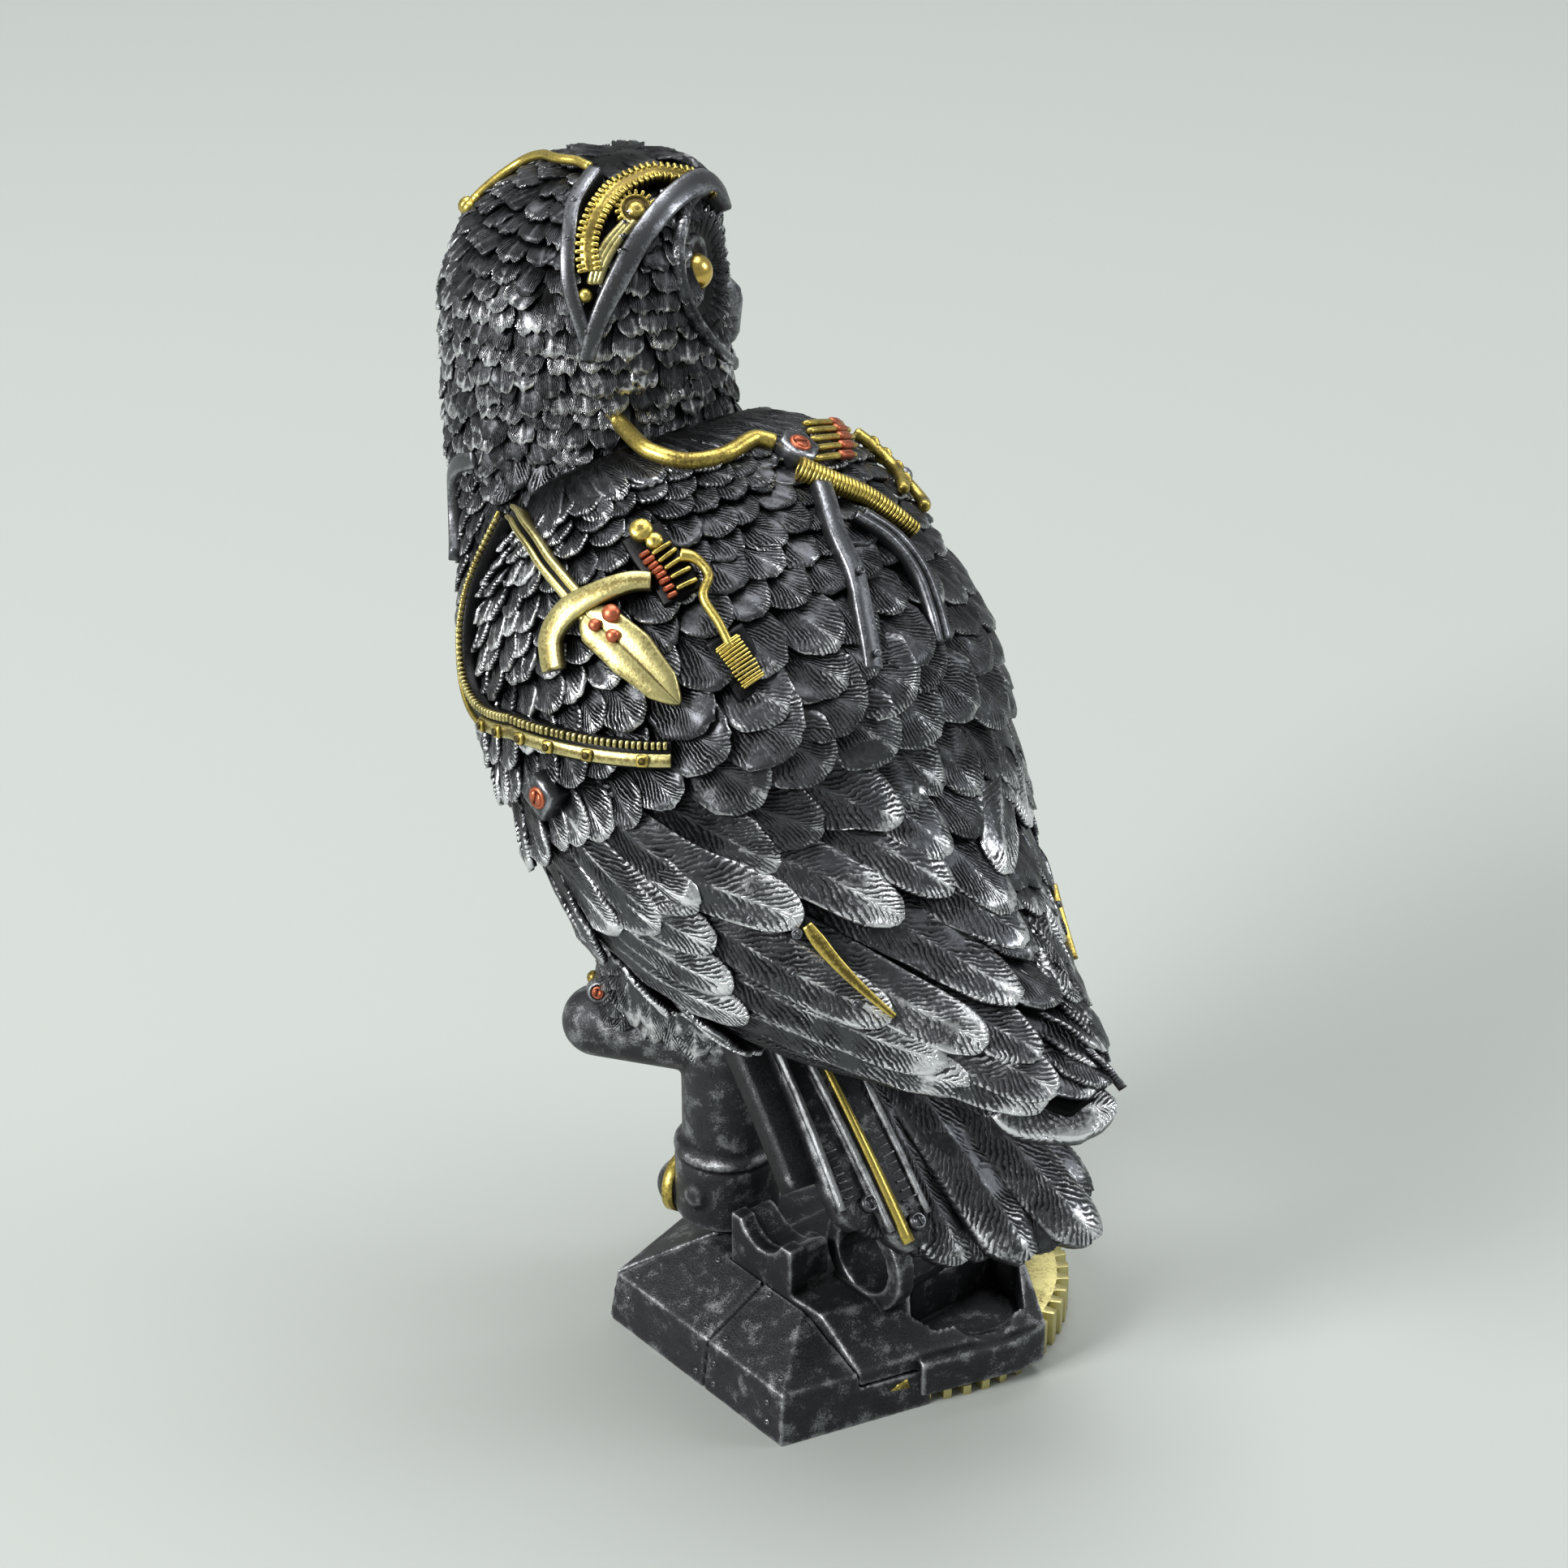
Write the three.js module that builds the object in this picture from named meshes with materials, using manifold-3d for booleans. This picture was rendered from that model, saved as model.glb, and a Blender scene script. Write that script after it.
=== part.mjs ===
// A cold-cast owl with machine parts, gripping an elbow pipe on a plated six-sided plinth.
// Millimetres, +Z up. The origin is the centre of the plinth's underside. The owl faces -Y.

import * as THREE from 'three';
import { mergeVertices } from 'three/addons/utils/BufferGeometryUtils.js';
import Module from 'manifold-3d';

const wasm = await Module();
wasm.setup();

// Fit between neighbouring pieces.
const clearance = 0.3;

// Plinth: a long hexagon with sloping plates and a flat top.
const plinthHalfWidth = 32;
const plinthSideHalf = 28.75;
const plinthApex = 37.7;
const plinthEdgeHeight = 12;
const plinthTopHeight = 20;
const plinthSlopeWidth = 16;
const plinthBatter = 1.5;
const seamWidth = 1;
const seamDepth = 0.8;
const seamPlace = 3.6;

// Toothed wheel that lies under the plinth's rear right corner.
const wheelRadius = 37.8;
const wheelThickness = 8.5;
const wheelTeeth = 52;
const toothDepth = 2.6;
const wheelRimWidth = 13;
const wheelRecess = 3;
const wheelX = -21;
const wheelY = 6.25;

// Bearing block: a machine bed with a lug ring, over the wheel.
const bedRearHeight = 13.5;
const bedRearFoot = 3.6;
const bedFloor = 21;
const seatHeight = 32;
const seatLength = 20;
const seatWall = 4;
const seatRadius = 7;
const seatY = 2.2;
const bedX = 16;
const ringOuter = 12;
const ringHole = 8;
const ringThickness = 4.5;
const ringY = 20.9;
const ringX = 0.9;
const ringZ = 29.5;
const barrelLength = 15;
const barrelRadius = 10;

// Perch: an upright pipe in a flanged collar, with two arms.
const pipeX = 4.6;
const pipeY = -23;
const pipeRadius = 10;
const armRadius = 8;
const armHeight = 64;
const armLength = 29.5;
const armAngles = { left: -57, right: 194 };
const collarRadius = 12.3;
const collarTop = 38;
const collarLip = 1.2;
const plugRadius = 6;
const plugLength = 17;
const plugHeight = 24;
const plugAngle = -66;

// The bird is drawn 180 units tall from the perch to the crown and takes its size from here.
const birdHeight = 180;
const unit = birdHeight / 180;
const headTurn = 150;

const deg = Math.PI / 180;
const V = (x, y, z) => new THREE.Vector3(x, y, z);
const perchTop = armHeight + armRadius;

// A point of the bird: across, along and above the perch, in the bird's own units.
const bird = (x, y, z) => V(x * unit, y * unit, perchTop + z * unit);

// Closed meshes to solids and back.
function solid(geometry) {
  const plain = geometry.index ? geometry.toNonIndexed() : geometry.clone();
  plain.deleteAttribute('normal');
  plain.deleteAttribute('uv');
  const merged = mergeVertices(plain, 1e-4);
  const mesh = new wasm.Mesh({
    numProp: 3,
    vertProperties: new Float32Array(merged.attributes.position.array),
    triVerts: new Uint32Array(merged.index.array),
  });
  return new wasm.Manifold(mesh);
}

function asMesh(name, body, colour, roughness, metalness) {
  const { vertProperties, triVerts } = body.getMesh();
  const geometry = new THREE.BufferGeometry();
  geometry.setAttribute('position', new THREE.BufferAttribute(vertProperties, 3));
  geometry.setIndex(new THREE.BufferAttribute(triVerts, 1));
  geometry.computeVertexNormals();
  const material = new THREE.MeshStandardMaterial({ color: colour, roughness, metalness });
  const mesh = new THREE.Mesh(geometry, material);
  mesh.name = name;
  return mesh;
}

const join = (bodies) => bodies.reduce((sum, body) => sum.add(body));

// A closed skin over rings of points that all have the same count.
function loft(rings) {
  const count = rings[0].length;
  const points = rings.flat();
  const faces = [];
  for (let i = 0; i + 1 < rings.length; i += 1) {
    for (let j = 0; j < count; j += 1) {
      const a = i * count + j;
      const b = i * count + (j + 1) % count;
      faces.push(a, b, b + count, a, b + count, a + count);
    }
  }
  const middle = (ring) => ring.reduce((sum, p) => sum.add(p), V(0, 0, 0)).divideScalar(count);
  points.push(middle(rings[0]), middle(rings[rings.length - 1]));
  const last = (rings.length - 1) * count;
  for (let j = 0; j < count; j += 1) {
    const k = (j + 1) % count;
    faces.push(rings.length * count, k, j);
    faces.push(rings.length * count + 1, last + j, last + k);
  }
  const geometry = new THREE.BufferGeometry();
  geometry.setAttribute('position', new THREE.Float32BufferAttribute(points.flatMap((p) => p.toArray()), 3));
  geometry.setIndex(faces);
  const body = solid(geometry);
  return body.volume() > 0 ? body : solid(flipped(geometry));
}

function flipped(geometry) {
  const index = geometry.index.array;
  const turned = [];
  for (let i = 0; i < index.length; i += 3) turned.push(index[i], index[i + 2], index[i + 1]);
  geometry.setIndex(turned);
  return geometry;
}

// A round bar between two points, with domed ends if asked.
function bar(from, to, radius, domed = false, facets = 20) {
  const length = from.distanceTo(to);
  const geometry = domed
    ? new THREE.CapsuleGeometry(radius, length, 3, facets)
    : new THREE.CylinderGeometry(radius, radius, length, facets);
  const turn = new THREE.Quaternion().setFromUnitVectors(V(0, 1, 0), to.clone().sub(from).normalize());
  geometry.applyQuaternion(turn);
  geometry.translate(...from.clone().add(to).multiplyScalar(0.5).toArray());
  return solid(geometry);
}

function prism(outline, bottom, top) {
  const shape = new THREE.Shape(outline.map(([x, y]) => new THREE.Vector2(x, y)));
  const geometry = new THREE.ExtrudeGeometry(shape, { depth: top - bottom, bevelEnabled: false });
  geometry.translate(0, 0, bottom);
  return solid(geometry);
}

function box(width, depth, height, x, y, z) {
  const geometry = new THREE.BoxGeometry(width, depth, height);
  geometry.translate(x, y, z);
  return solid(geometry);
}

// Table rows read as a smooth curve: column values at any place along the rows.
function along(rows, s) {
  const at = Math.min(Math.max(s, 0), rows.length - 1);
  const i = Math.min(Math.floor(at), rows.length - 2);
  const t = at - i;
  const row = (n) => rows[Math.min(Math.max(n, 0), rows.length - 1)];
  return rows[0].map((_, c) => {
    const [p, q, r, w] = [row(i - 1)[c], row(i)[c], row(i + 1)[c], row(i + 2)[c]];
    return 0.5 * (2 * q + (r - p) * t + (2 * p - 5 * q + 4 * r - w) * t * t
      + (3 * q - p - 3 * r + w) * t * t * t);
  });
}

// Plinth outline, moved in (positive) or out (negative) square to every side.
function hexagon(inset) {
  const endSlope = Math.atan2(plinthApex - plinthSideHalf, plinthHalfWidth);
  const w = plinthHalfWidth - inset;
  const apex = plinthApex - inset / Math.cos(endSlope);
  const corner = apex - w * Math.tan(endSlope);
  return [[0, -apex], [w, -corner], [w, corner], [0, apex], [-w, corner], [-w, -corner]];
}

function plinthForm(grow) {
  const level = (inset, z) => hexagon(inset - grow).map(([x, y]) => V(x, y, z));
  return loft([
    level(-plinthBatter, 0),
    level(0, plinthEdgeHeight + grow),
    level(plinthSlopeWidth, plinthTopHeight + grow),
  ]);
}

// Seams between the plates: a shallow groove across the sides and one up the front left hip.
function plinthSeams() {
  const skin = plinthForm(1).subtract(plinthForm(-seamDepth));
  const tall = plinthTopHeight * 3;
  const cross = box(plinthHalfWidth * 3, seamWidth, tall, 0, seamPlace, 0);
  const hip = box(seamWidth, plinthHalfWidth, tall, 0, 0, 0).rotate([0, 0, 58])
    .translate([plinthHalfWidth - 7, -plinthSideHalf + 4.4, 0]);
  return cross.add(hip).intersect(skin);
}

// The wheel: a rim of square teeth round a disc that is turned down in the middle.
function wheelForm() {
  const outline = [];
  const pitch = 360 / wheelTeeth;
  const root = wheelRadius - toothDepth;
  for (let i = 0; i < wheelTeeth; i += 1) {
    for (const [share, radius] of [[0, root], [0.1, wheelRadius], [0.5, wheelRadius], [0.6, root]]) {
      const turn = (i + share) * pitch * deg;
      outline.push([wheelX + radius * Math.cos(turn), wheelY + radius * Math.sin(turn)]);
    }
  }
  const recess = wheelRadius - wheelRimWidth;
  const floor = wheelThickness - wheelRecess;
  return prism(outline, 0, wheelThickness).subtract(
    bar(V(wheelX, wheelY, floor), V(wheelX, wheelY, wheelThickness + 1), recess, false, 26));
}

function wheelPocket() {
  const height = wheelThickness + clearance;
  return bar(V(wheelX, wheelY, -1), V(wheelX, wheelY, height), wheelRadius + clearance, false, 40);
}

// Bearing block. Its bed runs back over the wheel, falls to a low end face and holds a seat and a ring.
const bedRear = [[0, 37.5], [-27.5, 46.4]];
const bedTurn = 18;
const bedFall = 38;
const bedFallY = 26.5;

function bedForm(grow, open = false) {
  const g = grow;
  const [left, right] = bedRear;
  const end = [[left[0] + g, left[1] + g * 2], [right[0] - g, right[1] + g]];
  const plan = [
    [bedX + g, -8 - g], [bedX + g, 12.5], [bedX - 1.3 + g, 33.6 + g], ...end, [-37 - g, 18], [-34 - g, -8 - g],
  ];
  const slab = prism(plan, wheelThickness + clearance - g, open ? seatHeight : bedFloor + g);
  const foot = prism([[2 + g, 34], ...end, [-29 - g, 40 - g], [-6, 30 - g]], bedRearFoot - g, bedRearHeight + g);
  const fall = box(120, 60, 40, 0, 30, 20).rotate([-bedFall, 0, -bedTurn]).translate([0, bedFallY, bedFloor]);
  return open ? slab.add(foot) : slab.add(foot).subtract(fall);
}

function bearingBlock() {
  const half = seatLength / 2;
  const plate = (x, top) => prism(
    [[x, seatY - half], [x, seatY + half], [x - seatWall, seatY + half], [x - seatWall, seatY - half]],
    bedFloor - 1, top);
  const axis = seatHeight + 2.5;
  const channel = bar(V(-60, seatY, axis), V(60, seatY, axis), seatRadius, false, 20);
  const turned = (radius, from, to) => bar(V(from, ringY, ringZ), V(to, ringY, ringZ), radius, false, 24);
  const ring = turned(ringOuter, ringX - ringThickness / 2, ringX + ringThickness / 2);
  const barrel = turned(barrelRadius, ringX - barrelLength, ringX);
  const hole = turned(ringHole, ringX - barrelLength - 1, ringX + 20);
  const endSeat = bar(V(-10, 60, 22), V(-18, 33, 22), 10, false, 24);
  const pit = prism([[-2, 31], [-5, 35.5], [-25, 42], [-31, 33], [-31, 26], [-6, 26]], 9.8, 40);
  const body = bedForm(0).subtract(pit).subtract(endSeat);
  return body.add(plate(bedX, seatHeight)).add(plate(-26, seatHeight - 3)).subtract(channel)
    .add(ring).add(barrel).subtract(hole);
}

// Perch
const armEnd = (angle, length = armLength) => V(
  pipeX + length * Math.cos(angle * deg), pipeY + length * Math.sin(angle * deg), armHeight);

function perchForm(grow) {
  const top = V(pipeX, pipeY, armHeight - 1);
  const pipe = bar(V(pipeX, pipeY, plinthEdgeHeight), top, pipeRadius + grow, false, 16);
  const elbow = new THREE.SphereGeometry(pipeRadius + grow, 16, 6);
  elbow.rotateX(Math.PI / 2);
  elbow.translate(...top.toArray());
  const arms = Object.values(armAngles).map((angle) => bar(
    V(pipeX, pipeY, armHeight), armEnd(angle), armRadius + grow, true, 12));
  return join([pipe, solid(elbow), ...arms]);
}

function collarForm() {
  const upright = (radius, from, to) => bar(V(pipeX, pipeY, from), V(pipeX, pipeY, to), radius, false, 18);
  const sleeve = upright(collarRadius, plinthEdgeHeight, collarTop);
  const lip = upright(collarRadius + collarLip, collarTop - 2.5, collarTop);
  const heading = V(Math.cos(plugAngle * deg), Math.sin(plugAngle * deg), -0.06).normalize();
  const start = V(pipeX, pipeY, plugHeight);
  const plug = bar(start, start.clone().addScaledVector(heading, plugLength - plugRadius), plugRadius, true, 10);
  return join([sleeve, lip, plug]);
}

// The bird's forms: smooth skins, each cut into staggered rows of lapped feathers.

// Folded wings and back, from nape to wing tips: middle y and z, half width, depth behind, depth in front.
const cloakRows = [
  [-50, 121, 29, 17, 21], [-40, 107, 43, 31, 39], [-28, 87, 51, 40.5, 44], [-14, 64, 52.5, 43, 40],
  [4, 46, 47, 36.5, 30], [25, 35, 37, 26.5, 21], [45, 28, 25, 16, 12], [62, 23.5, 14, 8, 6], [76, 19.5, 5, 2.5, 2],
];
const wingTipSwing = -7;
const wingFold = 0.78;

// Head column, chest and belly: height, middle y, half width, half depth.
const chestRows = [
  [128, -70, 28, 28], [114, -66.5, 30.5, 30.5], [100, -60, 35, 33], [86, -53, 41, 35], [67, -48, 42.5, 33],
  [50, -44, 38, 29], [39, -40, 33, 26], [30, -37, 28, 23], [21, -34, 23, 20], [11, -31, 19, 17], [1, -29, 15, 13],
];

// Head: its own frame looks along the turned face. Height from the middle, radius, shift forward.
const headMiddle = [0, -70.8, 142];
const headRows = [
  [-40, 27, 0], [-28, 29.5, 0], [-14, 30, 0], [0, 30, 0], [12, 29.5, 0.5], [22, 26.5, 2], [30, 20, 4.5],
  [34.5, 12, 6], [36.5, 1, 7],
];
const faceFlat = 0.94;

function cloakPoint(s, angle) {
  const [y, z, w, behind, front] = along(cloakRows, s);
  const [y0, z0] = along(cloakRows, s - 0.25);
  const [y1, z1] = along(cloakRows, s + 0.25);
  const run = Math.hypot(y1 - y0, z1 - z0);
  const up = [(z0 - z1) / run, (y1 - y0) / run];
  const last = cloakRows.length - 1;
  const swing = wingTipSwing * Math.max(0, (s - 4.5) / (last - 4.5)) ** 1.5;
  const c = Math.cos(angle * deg);
  const across = Math.sin(angle * deg);
  const fold = c > 0 ? 1 : wingFold;
  const h = c > 0 ? behind * c : -front * (-c) ** fold;
  const x = w * Math.sign(across) * Math.abs(across) ** fold;
  return bird(x + swing, y + up[0] * h, z + up[1] * h);
}

function chestPoint(s, angle) {
  const [z, y, w, d] = along(chestRows, s);
  return bird(w * Math.sin(angle * deg), y - d * Math.cos(angle * deg), z);
}

function headPoint(across, forward, above) {
  const c = Math.cos(headTurn * deg);
  const s = Math.sin(headTurn * deg);
  const [x, y, z] = headMiddle;
  return bird(x + forward * c + across * s, y + forward * s - across * c, z + above);
}

function headSkin(s, angle) {
  const [z, r, shift] = along(headRows, headRows.length - 1 - s);
  const c = Math.cos(angle * deg);
  return headPoint(r * 0.97 * Math.sin(angle * deg), shift + r * c * (c > 0 ? faceFlat : 1), z);
}

// A skin's outward direction, from its own slope.
function outward(skin, s, angle) {
  const step = 0.04;
  const ds = skin(s + step, angle).sub(skin(s - step, angle));
  const da = skin(s, angle + 2).sub(skin(s, angle - 2));
  const normal = ds.cross(da).normalize();
  const across = skin(s, angle).sub(skin(s, angle + 180));
  return normal.dot(across) < 0 ? normal.negate() : normal;
}

// A skin whose rows of feathers end in scallops that stand off the row below.
// Each row: the place where it ends between feathers, how far the tips run on, how far they stand off.
// All but two of a row's feathers share the front of the skin, out to its half spread.
function lapped(skin, end, feathers, perFeather, spread, table) {
  const count = feathers * perFeather;
  const share = (feathers - 2) / feathers;
  const angleOf = (j) => {
    const u = (2 * j) / count - 1;
    const out = Math.abs(u);
    const angle = out < share ? (out / share) * spread : spread + ((out - share) / (1 - share)) * (180 - spread);
    return Math.sign(u) * angle;
  };
  const ring = (place, reach, lift, row) => Array.from({ length: count }, (_, j) => {
    const f = ((j + ((row % 2) * perFeather) / 2) % perFeather) / perFeather;
    const round = 1 - (2 * f - 1) ** 2;
    const s = place + reach * round;
    const angle = angleOf(j);
    const stand = lift * (0.45 + 0.75 * (1 - Math.abs(2 * f - 1)));
    return skin(s, angle).addScaledVector(outward(skin, s, angle), stand * unit);
  });
  const rings = [ring(0, 0, 0, 0)];
  table.forEach(([place, reach, lift], row) => {
    rings.push(ring(place, reach, lift, row), ring(place - 0.01, reach, -0.2, row));
  });
  rings.push(ring(end, 0, 0, 0));
  return loft(rings);
}

const cloakFeathers = 13;
const cloakSpread = 118;
const cloakTable = [
  [0.55, 0.18, 1.2], [1, 0.24, 1.6], [1.45, 0.28, 2], [1.95, 0.32, 2.3], [2.5, 0.4, 2.5],
  [3.1, 0.5, 2.8], [3.8, 0.6, 2.9], [4.6, 0.7, 2.8], [5.5, 0.7, 2.4],
];
const chestFeathers = 13;
const chestSpread = 112;
const chestTable = [
  [2, 0.5, 1.6], [3, 0.55, 1.9], [4, 0.6, 2], [5, 0.65, 2], [6.1, 0.7, 2], [7.3, 0.8, 2], [8.6, 0.8, 2],
];
const headFeathers = 16;
const headSpread = 147;
const headTable = [
  [1.6, 0.35, 1.2], [2.4, 0.4, 1.4], [3.2, 0.42, 1.5], [4, 0.45, 1.6], [4.9, 0.5, 1.7], [5.8, 0.5, 1.7],
  [6.8, 0.5, 1.7],
];

// One long blade: a ridge down the middle, with a rounded tip.
const bladeStations = [0, 0.75, 1];
const bladeBreadth = [0.8, 1, 0.3];

function blade(path, width, lift, root) {
  const rings = bladeStations.map((t, i) => {
    const { point, normal, run } = path(t);
    const side = normal.clone().cross(run).normalize();
    const half = (width * unit * bladeBreadth[i]) / 2;
    const top = lift * Math.min(1, 0.2 + t) * unit;
    const spot = (x, h) => point.clone().addScaledVector(side, x).addScaledVector(normal, h);
    return [spot(half, top - 0.6 * unit), spot(0, top + 0.2 * half), spot(-half, top - 0.6 * unit),
      spot(-half * 0.8, -root * unit), spot(half * 0.8, -root * unit)];
  });
  return loft(rings);
}

// A path on a skin between two places of it.
function pathOn(skin, from, to) {
  const at = (t) => [from[0] + (to[0] - from[0]) * t, from[1] + (to[1] - from[1]) * t];
  return (t) => {
    const ahead = at(t + 0.05);
    const behind = at(t - 0.05);
    const run = skin(ahead[0], ahead[1]).sub(skin(behind[0], behind[1])).normalize();
    return { point: skin(...at(t)), normal: outward(skin, ...at(t)), run };
  };
}

// Flight feathers of one wing: from [place, angle] to [place, angle], width.
const flight = [
  [3, 97, 5.7, 92, 12], [3.3, 86, 6.3, 86, 13], [3.9, 74, 7, 74, 13], [4.6, 54, 7.7, 44, 13],
];

// Tail feathers: root across, along, up and tip across, along, up.
const tail = [
  [10.6, -7, 23, 16, 36, -20], [8.4, -6.6, 26.7, 7, 42, -26], [4.8, -5.3, 30, -2, 46, -32],
  [0.8, -6.8, 30, -14, 54, -32], [-2.4, -10, 28.4, -28, 59, -31], [-4.6, -10.5, 25.7, -35, 49, -29],
];
const tailWidth = 14;
const tailThickness = 4;

function tailFeather([x0, y0, z0, x1, y1, z1]) {
  const from = bird(x0, y0, z0);
  const to = bird(x1, y1, z1);
  const run = to.clone().sub(from).normalize();
  const normal = V(0, 1, 0.35).addScaledVector(run, -V(0, 1, 0.35).dot(run)).normalize();
  return blade((t) => ({ point: from.clone().lerp(to, t), normal, run }), tailWidth, 1, tailThickness);
}

// Legs: a feathered thigh down to each arm, and toes bent over it.
const toeRadius = 2.9;
const toeSpacing = 7;

function leg(angle, reach) {
  const foot = armEnd(angle, reach);
  const hip = bird(foot.x > pipeX ? 11 : -13, -34, 30);
  const ankle = V(foot.x, foot.y, perchTop + 3);
  const thigh = bar(hip, ankle, 9 * unit, true, 7);
  const toes = [-1, 0, 1].map((place) => {
    const centre = armEnd(angle, reach + place * toeSpacing);
    const away = V(-Math.sin(angle * deg), Math.cos(angle * deg), 0);
    const radius = armRadius + toeRadius - 0.5;
    const bend = [-105, -50, 0, 50, 105].map((turn) => centre.clone()
      .addScaledVector(away, radius * Math.sin(turn * deg)).add(V(0, 0, radius * Math.cos(turn * deg))));
    return tube(bend, toeRadius, 5, 5);
  });
  return join([thigh, ...toes]);
}

function tube(points, radius, steps, facets) {
  const outline = Array.from({ length: facets }, (_, i) => new THREE.Vector2(
    radius * Math.cos((2 * Math.PI * i) / facets), radius * Math.sin((2 * Math.PI * i) / facets)));
  const extrudePath = new THREE.CatmullRomCurve3(points);
  return solid(new THREE.ExtrudeGeometry(new THREE.Shape(outline), { steps, extrudePath, bevelEnabled: false }));
}

// Machine parts cast into the bird, laid on its skins. Places are [place, angle].
const neckTube = [[0, 42], [0.25, 34], [0.62, 18], [0.7, 5], [0.66, -12]];
const neckTubeRadius = 1.9;
const toothedBand = [
  [0.4, 104], [0.75, 112], [1.1, 115], [1.45, 114], [1.75, 110], [2, 101], [2.17, 89], [2.4, 71], [2.72, 49],
];
const bandWidth = 4.6;
const bladeGuard = [[1.86, 70], [1.57, 65], [1.42, 52], [1.5, 41]];
const bladeUpper = [[0.45, 100], [1.5, 60]];
const bladeLower = [[1.5, 60], [2.05, 49], [2.36, 44]];
const rack = [[1.1, 42], [1.65, 34]];
const browLeft = [[1.13, 89], [2.13, 108], [2.93, 109], [3.7, 107], [4.6, 99]];
const browRight = [[4.9, 97], [4.15, 92], [3.35, 83], [2.57, 69], [2.03, 48], [2.1, 18]];

function placesOn(skin, places, height) {
  return places.map(([s, angle]) => skin(s, angle).addScaledVector(outward(skin, s, angle), height * unit));
}

function laidTube(skin, places, radius, height, steps) {
  return tube(placesOn(skin, places, height), radius * unit, steps, 5);
}

// A flat strip that follows a skin: its widths are given at its ends, and it stands a little proud.
function laidStrip(skin, places, width, endWidth, height, depth) {
  const last = places.length - 1;
  const rings = places.map(([s, angle], i) => {
    const [before, after] = [places[Math.max(0, i - 1)], places[Math.min(last, i + 1)]];
    const run = skin(...after).sub(skin(...before)).normalize();
    const normal = outward(skin, s, angle);
    const side = normal.clone().cross(run).normalize();
    const half = ((width + ((endWidth - width) * i) / last) * unit) / 2;
    const spot = (x, h) => skin(s, angle).addScaledVector(side, x).addScaledVector(normal, h * unit);
    return [spot(half, height), spot(-half, height), spot(-half, height - depth), spot(half, height - depth)];
  });
  return loft(rings);
}

function machineParts() {
  return join([
    laidTube(cloakPoint, neckTube, neckTubeRadius, 2.4, 7),
    laidStrip(cloakPoint, toothedBand, bandWidth, bandWidth, 4, 6),
    laidStrip(cloakPoint, bladeUpper, 3.2, 5, 4, 6),
    laidStrip(cloakPoint, bladeLower, 9, 1.5, 4.4, 6),
    laidStrip(cloakPoint, bladeGuard, 4, 3, 5.4, 6),
    laidStrip(cloakPoint, rack, 6, 6, 4.2, 6),
    laidStrip(headSkin, browLeft, 3, 3, 2.6, 4),
    laidStrip(headSkin, browRight, 3.6, 3.6, 3, 4.4),
  ]);
}

// Face: a ring round each eye, an eyeball and a hooked beak.
const eyeAcross = 13;
const eyeForward = 23.5;
const eyeAbove = 17.5;
const eyeRadius = 4.2;
const discRadius = 11;

function face() {
  const parts = [];
  for (const side of [1, -1]) {
    const eye = new THREE.SphereGeometry(eyeRadius * unit, 10, 6);
    eye.translate(...headPoint(side * eyeAcross, eyeForward, eyeAbove).toArray());
    parts.push(solid(eye));
    const rim = Array.from({ length: 9 }, (_, i) => {
      const turn = (i / 8) * 250 + 145;
      return headPoint(side * (eyeAcross + 1 + discRadius * Math.cos(turn * deg)),
        eyeForward + 1.5 - 4 * Math.cos(turn * deg) ** 2 * (Math.cos(turn * deg) > 0 ? 1.6 : 0.1),
        eyeAbove - 1 + discRadius * 1.05 * Math.sin(turn * deg));
    });
    parts.push(tube(rim, 1.8 * unit, 8, 4));
  }
  const beak = [headPoint(0, 25, 12), headPoint(0, 29.5, 7), headPoint(0, 30.5, 1), headPoint(0, 28, -5)];
  parts.push(tube(beak, 3 * unit, 4, 6));
  return join(parts);
}

function owl() {
  const cloak = lapped(cloakPoint, cloakRows.length - 1, cloakFeathers, 4, cloakSpread, cloakTable);
  const front = lapped(chestPoint, chestRows.length - 1, chestFeathers, 2, chestSpread, chestTable);
  const head = lapped(headSkin, headRows.length - 1, headFeathers, 2, headSpread, headTable);
  const parts = [cloak, front, head, face(), machineParts()];
  parts.push(leg(armAngles.left, 20), leg(armAngles.right, 19));
  for (const side of [1, -1]) {
    for (const [s0, a0, s1, a1, width] of flight) {
      parts.push(blade(pathOn(cloakPoint, [s0, side * a0], [s1, side * a1]), width, 2.6, 3));
    }
  }
  parts.push(...tail.map(tailFeather));
  return join(parts);
}

const gunmetal = 0x3c3f42;
const brass = 0xb59a3e;

const perch = perchForm(0).add(collarForm()).subtract(plinthForm(clearance));
const bed = bearingBlock();
const plinth = plinthForm(0).subtract(plinthSeams()).subtract(wheelPocket())
  .subtract(bedForm(clearance, true));
const wheel = wheelForm().subtract(bedForm(clearance));
const statue = owl().subtract(perchForm(clearance));

const group = new THREE.Group();
group.add(asMesh('plinth', plinth, gunmetal, 0.45, 0.8));
group.add(asMesh('gear_wheel', wheel, brass, 0.4, 0.9));
group.add(asMesh('bearing_block', bed, gunmetal, 0.45, 0.8));
group.add(asMesh('perch_pipe', perch, gunmetal, 0.45, 0.8));
group.add(asMesh('owl', statue, gunmetal, 0.4, 0.85));

export default group;
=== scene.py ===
# %% [markdown]
# # An owl with machine parts, on a plated plinth
# The real object looks like a cold-cast figure: resin mixed with metal powder, poured into a rubber mould,
# painted near-black and then rubbed with silver so that only the raised edges catch it. One photo can't prove the
# material, so this is a reading of it, and so is what the cells below say about the making.
# This notebook dresses the plain solids of the part with feathers, screws, straps and paint.
# Every size below is in millimetres, because that is how such a figure is modelled by hand.

# %% Opening the part
import math

import bmesh
import bpy
import numpy as np
from mathutils import Matrix, Vector


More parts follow.
